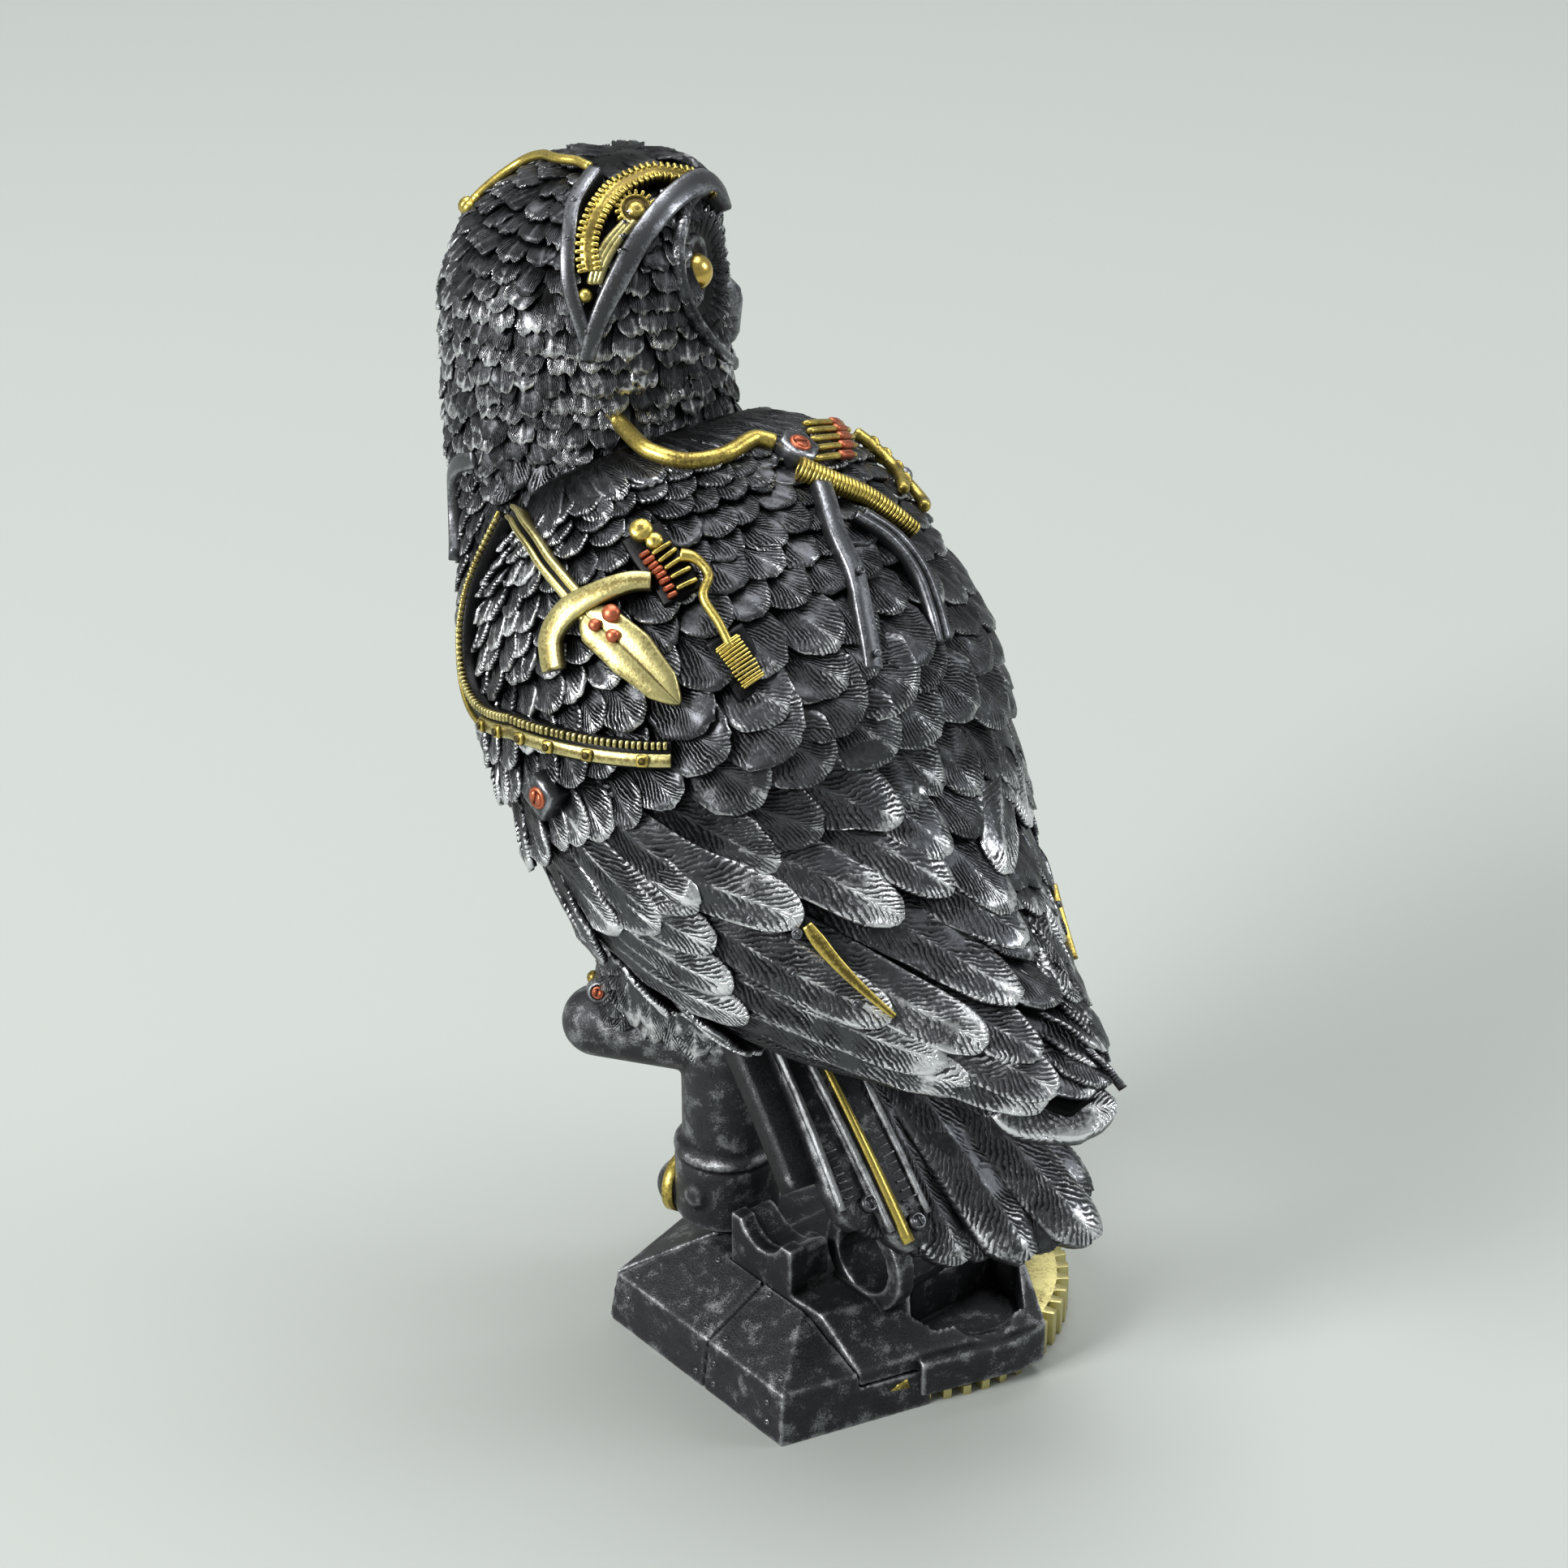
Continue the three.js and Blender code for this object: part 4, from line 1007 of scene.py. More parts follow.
# %% Tail rails
rails, marks, tail_screws, tail_brass = Form(), [], [], Form()
for row, gold in ((TAIL[0], False), (TAIL[1], True)):
    path, up = tail_spine(row, 40)
    sweep(rails, path, up, [(6.2, -3), (6.2, 0.6), (5.4, 1.3), (-5.4, 1.3), (-6.2, 0.6), (-6.2, -3)],
          tapering(40, [0, 0.85, 0.95, 1], [0.85, 1, 0.85, 0.45]), [0.05, 0.5, 0.35, 0.35, 0.5, 0.05])
    run = unit(path[-1] - path[0])
    side = np.cross(up[0], run)
    for offset in (-5.2, 5.2):
        sweep(rails, path[:37] + side * offset * 0.97, up[:37], [(0.7, 0), (0.6, 2.1), (-0.6, 2.1), (-0.7, 0)], None,
              [0.1, 0.9, 0.9, 0.1])
    for k in range(22):
        spot = path[0] + (path[-1] - path[0]) * (0.3 + 0.028 * k) + np.array([0, 1.3, 0.8])
        tall = 2.2 if k % 5 else 3.6
        marks.append((spot + side * (-2.6 if not gold else 2.4) + up[0] * 1.0, up[0], run, (tall, 1, 1)))
    for share in (0.4, 0.93):
        tail_screws.append((path[0] + (path[-1] - path[0]) * share + side * 1.4 + up[0] * 1.9
                            + np.array([0, 1.0, 0.6]), up[0], run, (1.5, 1.5, 1.3)))
    if gold:
        sweep(tail_brass, path[14:39] + side * -2.2, up[14:39], [(1.1, 0), (0.9, 2.2), (-0.9, 2.2), (-1.1, 0)],
              tapering(25, [0, 0.5, 1], [0.5, 1.0, 1.3]), [0.3, 0.9, 0.9, 0.3])
path, up = tail_spine(TAIL[0], 20, (0, -5.0, -1.0))
side = np.cross(up[0], unit(path[-1] - path[0]))
dark_feather = sweep(Form(), path[:17] - side * 4.0, up[:17],
                     [(7.5, -3.5), (7.5, 0.8), (6.5, 1.6), (-6.5, 1.6), (-7.5, 0.8), (-7.5, -3.5)],
                     None, [0.05, 0.3, 0.2, 0.2, 0.3, 0.05])
piece("tail_root", dark_feather, cast_paint, "dark_metal_paint", "owl")
piece("tail_rails", rails, cast_paint, "dark_metal_paint", "owl")
piece("tail_brass_rail", tail_brass, brass_paint, "brass_paint", "owl")
tick = block((1.0, 0.45, 1.0), rub=0.9, bevel=0.08)
scatter("tail_marks", tick, marks, steel_paint, "dark_metal_paint", "owl", uneven=0.05)

# %% [markdown]
# ## Legs and feet
# Two feathered thighs stand on the arms of the perch, and three toes bend over each arm.
# A thigh is a small skin of its own, so the same feather rows cover it. A toe is a pipe bent round the arm that
# swells at its joints, and its claw is a thinner pipe that carries on in the same bend.

# %% Legs
PIPE = (4.6, -23.0)
ARM_HEIGHT, ARM_RADIUS, ARM_LENGTH = 64.0, 8.0, 29.5
ARM_ANGLES = (-57.0, 194.0)
legs, toes, claws = Form(), Form(), Form()
for angle, reach in zip(ARM_ANGLES, (20.0, 19.0)):
    heading = np.array([math.cos(angle * DEG), math.sin(angle * DEG), 0])
    away = np.array([-heading[1], heading[0], 0])
    front = -np.sign(away[1])
    foot = np.array([PIPE[0], PIPE[1], ARM_HEIGHT]) + heading * reach
    hip = bird(11.0 if foot[0] > PIPE[0] else -13.0, -34.0, 30.0)
    ankle = np.array([foot[0], foot[1], PERCH_TOP + 3])
    down = unit(ankle - hip)
    x = unit(np.cross(down, [0, 1, 0]))
    y = np.cross(down, x)

    def thigh(s, a, hip=hip, ankle=ankle, x=x, y=y):
        s, a = np.broadcast_arrays(np.asarray(s, float), np.asarray(a, float) * DEG)
        r = np.interp(s, [0, 0.5, 1, 1.25], [11.5, 10.5, 8.2, 6.5])[..., None]
        return hip + (ankle - hip) * s[..., None] + r * (np.cos(a)[..., None] * x + np.sin(a)[..., None] * y)

    rings(legs, thigh(np.linspace(-0.2, 1.15, 12)[:, None], np.linspace(-180, 180, 24, endpoint=False)[None]), 0.05)
    rows = np.linspace(-0.05, 0.95, 10)
    plan = covering(thigh, rows, 180.0, lambda s, a: 8.2 - 1.5 * s, lambda s, a: 1.4, pack=0.8, wander=8.0)
    path, up = spines(thigh, plan[:, :2], plan[:, 2:4], 7)
    leaf(legs, path, up, plan[:, 4], lift=1.8, sink=0.8, tip=0.34, sharp=1.7, ragged=0.04, rub=0.75, across=7)
    for place in (-1, 0, 1):
        centre = foot + heading * (place * 6.0 - 4.0)
        t = np.linspace(-25, 112, 26) * front * DEG
        radius = ARM_RADIUS + 2.1
        up_here = np.outer(np.sin(t), away) + np.outer(np.cos(t), [0, 0, 1])
        swell = 2.5 + 0.28 * np.abs(np.sin(t * 5.5)) - 0.5 * (np.abs(t) / np.abs(t).max()) ** 4
        pipe(toes, centre + up_here * radius, up_here, swell, 14, 0.55)
        t = np.linspace(100, 142, 12) * front * DEG
        up_here = np.outer(np.sin(t), away) + np.outer(np.cos(t), [0, 0, 1])
        pipe(claws, centre + up_here * (radius + 0.6), up_here, np.linspace(2.0, 0.4, 12), 10, 0.8)
piece("leg_feathers", legs, feather_paint, "dark_metal_paint", "owl")
piece("toes", toes, steel_paint, "dark_metal_paint", "owl")
piece("claws", claws, cast_paint, "dark_metal_paint", "owl")

# %% [markdown]
# ## Face
# The face is two shallow dishes of fine feathers round gilt eyes, with a hooked beak between. The fine feathers
# run out from each eye like rays, so they are laid in two circles instead of rows, and a smooth rim closes the disc.

# %% Face
def head_ray(across, above):
    """The point of the head's front at a place across and above its middle."""
    z = np.clip(np.asarray(above, float), -39, 36)
    order = HEAD[:, 0]
    r = np.interp(z, order, HEAD[:, 1]) * 0.97
    shift = np.interp(z, order, HEAD[:, 2])
    x = np.clip(np.asarray(across, float) / r, -0.999, 0.999)
    return head_place(across, shift + r / 0.97 * np.sqrt(1 - x * x) * FACE_FLAT - dish(across, z), z)


face, eyes, beak, discs = Form(), Form(), Form(), Form()
forward = unit(head_place(0, 1, 0) - head_place(0, 0, 0))
for side in (1, -1):
    middle = head_place(side * EYE_ACROSS, EYE_FORWARD, EYE_ABOVE)
    out = unit(head_place(side * 0.45, 1, 0.02) - head_place(0, 0, 0))
    turned(discs, middle - out * 1.0, out, [(7.6, -2.5, 0.05), (7.9, 0.6, 0.4), (7.0, 1.8, 0.6), (6.0, 1.2, 0.2),
                                            (5.2, 0.0, 0.0), (4.0, -0.6, 0.0)], 40)
    ball(eyes, middle - out * 0.3, 4.0, 1.0, out, 0.9, 32)
    for ring_radius, reach, number, wide in ((7.5, 5.2, 30, 2.4), (10.2, 6.0, 34, 3.0)):
        t = (np.arange(number) + 0.5 * (ring_radius > 8)) / number * 2 * math.pi
        steps = np.linspace(0, 1, 5)[None, :]
        r = ring_radius + reach * steps
        ax = side * EYE_ACROSS + r * np.cos(t)[:, None]
        ab = EYE_ABOVE - 0.5 + r * np.sin(t)[:, None] * 1.08
        keep = (side * ax[:, 2] > 1.0) & (np.abs(ax[:, -1]) < 27.5) & (ab[:, -1] < 33)
        path = head_ray(ax[keep], ab[keep])
        height = path[..., 2:3] - HEAD_MIDDLE[2] - PERCH_TOP
        up = unit(path - head_place(0, 0, 0)[None, None] - np.array([0, 0, 1]) * height * 0.6)
        leaf(face, path, up, wide, lift=1.3, sink=0.4, tip=0.2, ragged=0.05, rub=0.7, across=5, thick=0.8,
             shaft=0.08)
    rim_places = [(s, side * a) for s, a in ((5.65, 8), (5.18, 32), (4.45, 50), (3.78, 58), (3.12, 60), (2.62, 57),
                                             (2.1, 46), (2.0, 26), (2.3, 6))]
    path, up = laid(head, rim_places, 60, 0.6)
    sweep(face, path, up, flat_bar(2.8, 1.5, 2.0, 0.6)[0], None, [0.05, 0.5, 0.7, 0.4, 0.7, 0.5, 0.05])
t = np.linspace(0, 1, 16)
nose = np.array([head_place(0, np.interp(k, [0, 0.35, 0.75, 1], [24, 28.4, 28.6, 25.8]), 11 - 19 * k) for k in t])
pipe(beak, nose, np.broadcast_to(forward, nose.shape), np.interp(t, [0, 0.35, 0.8, 1], [2.0, 3.4, 2.3, 0.7]), 18, 0.7)
piece("face_feathers", face, feather_paint, "dark_metal_paint", "owl")
piece("eye_rings", discs, cast_paint, "dark_metal_paint", "owl")
piece("eyes", eyes, eye_paint, "brass_paint", "owl")
piece("beak", beak, cast_paint, "dark_metal_paint", "owl")

# %% [markdown]
# ## Straps of steel
# Plain grey straps look bolted over the feathers: two meet in a point behind the eye, others cross the shoulder.
# Each is one flat bar laid along a skin. Its height clears the feather tips below it, or they would poke through.

# %% Straps
straps = Form()
strap(straps, head, BROW_LEFT, 3.0, 1.7, 1.0, 3.0, 60)
strap(straps, head, BROW_RIGHT, 3.8, 1.9, 1.2, 3.0, 60, ([0, 0.25, 0.6, 1], [0.8, 1.15, 1.3, 1.5]))
strap(straps, cloak, [(1.18, -11), (1.55, -6), (1.93, -4), (2.23, -1), (2.62, 2)], 4.0, 4.6, 0.5, 2.4, 40)
for shift in (0, -3.2):
    double = [(1.5, -14 + shift), (1.75, -19.5 + shift), (2.05, -21.5 + shift), (2.33, -20 + shift), (2.6, -18 + shift)]
    strap(straps, cloak, double, 1.8, 4.4, 0.5, 2.4, 40)
strap(straps, chest, [(0.6, 88), (0.85, 72), (1.25, 60), (1.75, 56), (2.2, 62)], 3.6, 2.4, 0.9, 3.0, 30)
piece("straps", straps, steel_paint, "dark_metal_paint", "owl")

# %% [markdown]
# ## Brass works: neck tube and hose
# A neck tube, a ribbed hose, a toothed band along the wing, a blade held by a strap, a little rack with a lever
# and, in the skull, a toothed ring: all are brass that was pressed into the clay before the mould was made.
# The next cells gather them in four forms, one for each finish, and the last of them hands the forms over.

# %% Neck tube and hose
NECK_TUBE = [(0.27, 30), (0.52, 24), (0.65, 17), (0.69, 9), (0.67, 2), (0.63, -6), (0.76, -12)]
HOSE = [(1.0, -9), (1.2, -16), (1.37, -23), (1.57, -28), (1.76, -32)]
BAND = [(0.36, 104), (0.75, 112), (1.1, 115), (1.45, 114), (1.75, 110), (2, 101), (2.17, 89), (2.4, 71), (2.72, 49)]
brass, pale, dark_works, copper = Form(), Form(), Form(), Form()
path, up = laid(cloak, NECK_TUBE, 60, 2.6)
top_end = np.array([[14.8, -46.0, 206.5], [13.9, -43.6, 204.0]])
path = along(np.concatenate([top_end, path[2::6]]), np.linspace(0, 11, 80))
up = unit(np.concatenate([np.repeat([[0.4, 0.75, 0.5]], 12, 0), np.repeat(up[:1], 2, 0), up[2:]]))
pipe(brass, path, up[np.linspace(0, 71, 80).astype(int)], 1.75, 18, 0.75)
core, core_up = laid(cloak, HOSE, 400, 3.4)
hose_radius = np.linspace(2.1, 1.4, 400)
pipe(brass, core, core_up, hose_radius * 0.8, 14, 0.5)
print("hose:", round(float(np.linalg.norm(np.diff(core, axis=0), axis=1).sum()), 1), "mm long")

# %% [markdown]
# ## Toothed band
# A groove runs along the wing's front edge with a row of small teeth in it; its floor is a near-black bar, painted
# shade. Its rear end is a flat brass bar with square nuts. The line is worked out at 600 points, so that a tooth can be
# set at any even distance along it.

# %% Toothed band
path, up = laid(cloak, BAND, 600, 3.0)
run = unit(np.gradient(path, axis=0))
side = unit(np.cross(up, run))
# The groove floor: a near-black bar, painted shade.
sweep(dark_works, path, up, flat_bar(5.4, 0.8, 3.5)[0], None, [0.1, 0.5, 0.6, 0.05, 0.6, 0.5, 0.1])
section, rub = flat_bar(2.6, 0.9, 1.5, 0.25)
flat_part = slice(384, 600)
sweep(pale, path[flat_part] - side[flat_part] * 1.0, up[flat_part], [(x, h + 0.7) for x, h in section], None, rub)
sweep(brass, path[:388] - side[:388] * 1.9, up[:388], [(x * 0.35, h + 0.5) for x, h in section], None, rub)
teeth = []
length = np.concatenate([[0], np.cumsum(np.linalg.norm(np.diff(path, axis=0), axis=-1))])
for where in np.arange(1.0, length[-1] - 1, 1.25):
    k = int(np.searchsorted(length, where))
    teeth.append((path[k] + side[k] * 1.9 + up[k] * 1.1, up[k], run[k], (1.5, 1, 1.2)))
nuts = []
for share in (0.66, 0.72, 0.78, 0.84, 0.9, 0.96):
    k = int(share * 599)
    nuts.append((path[k] - side[k] * 1.1 + up[k] * 1.9, up[k], run[k], (1, 1, 1)))
print("band:", len(teeth), "teeth and", len(nuts), "nuts")

# %% [markdown]
# ## Blade
# A grooved upper part and a leaf-shaped lower part lie on the shoulder, and a strap runs over both.
# The groove is simply the gap between two bars, with a near-black bar at its floor as painted shade.

# %% Blade
upper, upper_up = laid(cloak, [(0.43, 92), (0.78, 76), (1.08, 68), (1.35, 62), (1.57, 58)], 30, 3.4)
upper_side = unit(np.cross(upper_up, np.gradient(upper, axis=0)))
section, rub = flat_bar(1.5, 1.1, 2.5, 0.4)
for x in (-1.15, 1.15):
    sweep(pale, upper + upper_side * x, upper_up, section, tapering(30, [0, 1], [0.7, 1.2]), rub)
# The groove's floor: a near-black bar, painted shade.
sweep(dark_works, upper, upper_up, flat_bar(2.0, 0.4, 2.5, 0.2)[0], None, [0.1] * 7)
lower, lower_up = laid(cloak, [(1.55, 58.5), (1.85, 52), (2.08, 48), (2.36, 43.5)], 36, 3.9)
half_leaf = [(4.9, -3), (4.9, 0.3), (4.4, 0.55), (0.5, 1.3)]
leaf_section = half_leaf + [(0, 0.8)] + [(-x, z) for x, z in half_leaf[::-1]]
sweep(pale, lower, lower_up, leaf_section, tapering(36, [0, 0.12, 0.45, 0.8, 1], [0.45, 0.9, 1.0, 0.72, 0.06]),
      [0.1, 0.9, 0.7, 0.9, 0.1, 0.9, 0.7, 0.9, 0.1])
strap(pale, cloak, [(1.87, 70), (1.63, 69), (1.48, 63), (1.43, 54), (1.43, 46), (1.48, 41)], 4.6, 5.2, 0.7, 1.6, 40,
      ([0, 0.4, 1], [1.0, 1.1, 0.7]))
for s, a, r in ((1.62, 52, 1.9), (1.66, 56.5, 1.3), (1.78, 53, 1.4)):
    place, normal = spot_on(cloak, s, a, 5.6)
    ball(copper, place, r, 0.7, normal, 0.8, 14)
print("pale brass so far:", pale.count, "points")

# %% [markdown]
# ## Rack and lever
# Beside the blade lies a little rack: two knobs, five rungs, a copper strip beside them, and a lever that ends in a
# ribbed block. Rungs and ribs are only places for now. The scatter tree sets the bars on them further down.

# %% Rack and lever
rack, rack_up = laid(cloak, [(1.06, 39.5), (1.27, 38), (1.45, 36), (1.66, 35)], 24, 3.4)
rack_side = unit(np.cross(rack_up, np.gradient(rack, axis=0)))
# A near-black plate under the rack, painted shade.
sweep(dark_works, rack, rack_up, flat_bar(8.5, 0.2, 3, 0.2)[0], None, [0.05] * 7)
turned(brass, rack[1] + rack_up[1] * 0.4, rack_up[1],
       [(2.4, -2, 0.3), (2.4, 1.0, 0.8), (1.9, 1.6, 1.0), (0.8, 1.8, 0.9)], 12)
turned(brass, rack[5] + rack_side[5] * 1.2, rack_up[5], [(1.8, -2, 0.3), (1.8, 1.0, 0.8), (1.2, 1.5, 1.0)], 10)
rack_run = np.gradient(rack, axis=0)
rungs = [(rack[k] + rack_side[k] * 1.6 + rack_up[k] * 0.8, rack_up[k], rack_run[k]) for k in (8, 11, 14, 17, 20)]
copper_rungs = [(rack[k] - rack_side[k] * 1.9 + rack_up[k], rack_up[k], rack_run[k]) for k in range(7, 22, 2)]
lever, lever_up = laid(cloak, [(1.36, 32.5), (1.42, 29.5), (1.57, 28), (1.72, 31), (1.93, 30), (2.12, 29.5)], 40, 4.4)
pipe(brass, lever, lever_up, np.interp(np.linspace(0, 1, 40), [0, 0.3, 1], [1.5, 1.0, 0.9]), 12, 0.8)
brush, brush_up = laid(cloak, [(2.08, 30), (2.22, 28.7), (2.38, 27.5)], 14, 3.6)
# A near-black plate under the lever's ribs, painted shade.
strap(dark_works, cloak, [(2.0, 29.5), (2.45, 27)], 8.5, 2.6, 0.2, 2, 10)
bristles = list(zip(brush + brush_up * 0.8, brush_up, np.gradient(brush, axis=0)))
print("rack:", len(rungs), "rungs,", len(copper_rungs), "copper blocks,", len(bristles), "ribs")

# %% [markdown]
# ## Shoulder and wing strips
# Over the right shoulder goes a fan of pegs with copper blocks, and two hooks with rings. The photo shows only the
# near half of them. A yellow strip is let into one long feather of each wing.

# %% Shoulder and strips
peg_blocks = []
for k in range(5):
    step = 0.08 * k
    fan = [(0.64 + step, -28 + 3 * k), (0.67 + step, -42 + 4 * k), (0.7 + step, -58 + 6 * k)]
    places, normal = laid(cloak, fan, 10, 3.2)
    pipe(brass, places, normal, 0.75, 8, 0.8)
    peg_blocks.append((places[6], normal[6], places[8] - places[4], (0.85, 1.3, 0.9)))
for where in ([(0.8, -62), (1.0, -60), (1.22, -56), (1.42, -43)], [(1.1, -66), (1.35, -64), (1.55, -58), (1.6, -50)]):
    hook, hook_up = laid(cloak, where, 26, 3.4)
    pipe(brass, hook, hook_up, 1.3, 12, 0.75)
for s, a in ((0.95, -60.5), (1.08, -59), (1.22, -56), (1.34, -50)):
    places = laid(cloak, [(s, a), (s + 0.02, a - 1)], 2, 3.4)[0]
    turned(brass, places[0], unit(places[1] - places[0]),
           [(1.2, -0.5, 0.5), (1.9, -0.35, 0.9), (1.9, 0.35, 0.9), (1.2, 0.5, 0.5)], 16)
section, rub = flat_bar(3.0, 0.7, 2.0, 0.25)
for places in ([(4.88, 46), (5.4, 50), (5.95, 54)], [(5.28, -68), (5.7, -69), (6.07, -70)]):
    sweep(brass, *laid(cloak, places, 30, 3.6), section, tapering(30, [0, 0.2, 1], [0.7, 1.0, 0.35]), rub)
print("brass so far:", brass.count, "points")

# %% [markdown]
# ## Skull works
# Between the two head straps the skull is open: a toothed ring, a small wheel and three bent tubes show there.
# A rod with a knobbly end lies over the far side of the head. After these the four forms are handed over.

# %% Skull works
arc, arc_up = laid(head, [(3.17, 100), (2.55, 104), (1.9, 102), (1.36, 91), (1.12, 62), (1.6, 33), (2.2, 18)], 70, 1.2)
section, rub = flat_bar(3.0, 1.0, 2.5, 0.3)
sweep(brass, arc, arc_up, section, None, rub)
arc_run = unit(np.gradient(arc, axis=0))
arc_side = unit(np.cross(arc_up, arc_run))
ring_teeth = [(arc[k] + arc_side[k] * w * 1.6 + arc_up[k] * 0.5, arc_up[k], arc_run[k], (1.5, 1.1, 1.3))
              for k in range(1, 69, 2) for w in (1, -1)]
hub, hub_up = spot_on(head, 2.02, 82, 0.9)
turned(brass, hub, hub_up, [(3.6, -2, 0.2), (3.6, 0.4, 0.7), (3.1, 0.7, 0.8), (2.9, 0.3, 0.2), (1.8, 0.3, 0.2),
                            (1.6, 1.0, 0.8), (0.8, 1.2, 0.8)], 36)
x = unit(np.cross(hub_up, [0, 0, 1]))
y = np.cross(hub_up, x)
for px, py in circle(1.0, 18):
    spoke = x * px + y * py
    ring_teeth.append((hub + spoke * 3.9 - hub_up * 0.1, hub_up, np.cross(hub_up, spoke), (1.2, 1.0, 1.3)))
for k in (0, 2.6, 5.0):
    bend = [(2.25, 88 - k), (2.62, 95 - k), (3.0, 98 - k * 0.8), (3.4, 99 - k * 0.6)]
    pipe(pale, *laid(head, bend, 24, 1.2), 0.85, 10, 0.8)
place, normal = spot_on(head, 3.6, 100.5, 1.2)
ball(brass, place, 1.5, 1.0, normal, 0.9, 16)
rod, rod_up = laid(head, [(2.98, -162), (2.48, -155), (1.98, -149), (1.6, -152), (1.22, -163), (1.0, -185),
                          (0.83, -211), (0.9, -235)], 60, 1.7)
pipe(brass, rod, rod_up, 1.05, 12, 0.8)
for k, r in ((0, 2.0), (2, 1.6), (4, 1.3)):
    ball(brass, rod[k] + dice.normal(0, 0.5, 3), r, 0.9, rod_up[k], 0.8, 12)
piece("brass_works", brass, brass_paint, "brass_paint", "owl")
piece("pale_brass_works", pale, pale_brass, "brass_paint", "owl")
# The near-black plates are painted shade in grooves and under the rack and lever.
piece("dark_works", dark_works, shade_black_paint, "dark_metal_paint", "owl")
piece("copper_works", copper, copper_paint, "copper_paint", "owl")

# %% [markdown]
# ## Teeth, rungs, ribs and nuts
# All the small repeated parts go on with the scatter tree, each kind from one template. Modelling each tooth would
# give the same picture for far more work, and one change to a template here mends all of its copies.

# %% Teeth, rungs and blocks
tooth = block((1.0, 0.7, 1.4), rub=0.95, bevel=0.12)
scatter("band_teeth", tooth, teeth, pale_brass, "brass_paint", "owl", uneven=0.06)
scatter("skull_ring_teeth", tooth, ring_teeth, brass_paint, "brass_paint", "owl", uneven=0.06)
nut = block((2.3, 2.3, 1.1), rub=0.95, bevel=0.25)
lathe(nut, [(0.75, 0.3, 0.2), (0.75, 0.85, 0.2), (0.5, 0.9, 0.1)], 10)
scatter("band_nuts", nut, nuts, brass_paint, "brass_paint", "owl", uneven=0.08)
rung = block((4.4, 0.8, 1.6), rub=0.95, bevel=0.2)
scatter("rack_rungs", rung, rungs, brass_paint, "brass_paint", "owl")
red = block((2.2, 0.9, 1.6), rub=0.9, bevel=0.25)
scatter("rack_blocks", red, copper_rungs, copper_paint, "copper_paint", "owl", uneven=0.15)
bristle = block((5.2, 0.45, 1.6), rub=0.95, bevel=0.1)
scatter("lever_ribs", bristle, bristles, brass_paint, "brass_paint", "owl", uneven=0.1)
cube = block((2.0, 3.6, 2.0), rub=0.9, bevel=0.3)
scatter("peg_blocks", cube, peg_blocks, copper_paint, "copper_paint", "owl", uneven=0.05)

# %% [markdown]
# ## Hose ribs
# The ribs of the hose are one small hoop, set every 0.85 mm along the hose's middle line and sized by its radius
# there. A screw thread would look much the same, but a hoop is easier to size where the hose gets thinner.

# %% Hose ribs
AROUND, ACROSS = 18, 8
t, s = np.meshgrid(np.arange(AROUND) / AROUND * 2 * math.pi, np.arange(ACROSS) / ACROSS * 2 * math.pi, indexing="ij")
reach = 1.0 + 0.2 * np.cos(s)
i, j = np.meshgrid(np.arange(AROUND), np.arange(ACROSS), indexing="ij")
i_next, j_next = (i + 1) % AROUND, (j + 1) % ACROSS
corners = [i * ACROSS + j, i * ACROSS + j_next, i_next * ACROSS + j_next, i_next * ACROSS + j]
hoop = Form().add(np.stack([reach * np.cos(t), 0.22 * np.sin(s), reach * np.sin(t)], -1),
                  np.stack(corners, -1).reshape(-1, 4), (), 0.85)
ribs = []
core_run = np.gradient(core, axis=0)
core_length = np.concatenate([[0], np.cumsum(np.linalg.norm(np.diff(core, axis=0), axis=-1))])
for where in np.arange(0.3, core_length[-1], 0.85):
    k = min(int(np.searchsorted(core_length, where)), 399)
    ribs.append((core[k], core_up[k], core_run[k], (hose_radius[k],) * 3))
scatter("hose_ribs", hoop, ribs, brass_paint, "brass_paint", "owl")

# %% [markdown]
# ## Nuts and screws
# A six-sided nut sits on the shoulder and a square one on the wing, each with a copper screw in it.
# Steel screws are dotted over straps, long feathers and the tail. Their slots are turned at random, as a hand
# leaves them.

# %% Nuts and screws
steel_nuts, caps = Form(), []
NUT_TALL = 2.2
for s, a, radius, sides in ((0.84, -14.5, 4.6, 6), (2.68, 86, 5.0, 4)):
    place, normal = spot_on(cloak, s, a, 2.4)
    profile = [(radius, -2.5, 0.1), (radius, NUT_TALL - 0.6, 0.6), (radius * 0.9, NUT_TALL, 1.0),
               (radius * 0.55, NUT_TALL, 0.5)]
    turned(steel_nuts, place, normal, profile, sides, turn=0.3)
    caps.append((place + normal * NUT_TALL, normal, (0.4, 0.2, 1), (1.9, 1.9, 1.6)))
place, normal = spot_on(cloak, 1.3, -62, 3.6)
ball(steel_nuts, place, 2.0, 1.0, normal, 0.9, 18)
piece("steel_nuts", steel_nuts, steel_paint, "dark_metal_paint", "owl")
screws = []
for skin, s, a, high, size in (
        (cloak, 4.55, 56, 3.9, 0.85), (cloak, 4.88, 50, 4.1, 0.9), (cloak, 5.07, 61, 3.9, 0.9),
        (cloak, 5.65, 58, 3.9, 0.9), (cloak, 1.93, -4, 6.3, 0.7), (cloak, 2.5, 1, 6.3, 0.6),
        (head, 1.87, 118, 2.8, 0.6), (head, 4.2, 98.5, 2.9, 0.6), (head, 2.63, 112, 2.8, 0.5),
        (cloak, 5.5, -67, 3.9, 0.9)):
    place, normal = spot_on(skin, s, a, high)
    screws.append((place, normal, (0.3, dice.uniform(-1, 1), 0.5), (size, size, size)))
screws += tail_screws
scatter("copper_screws", screw_head(), caps, copper_paint, "copper_paint", "owl")
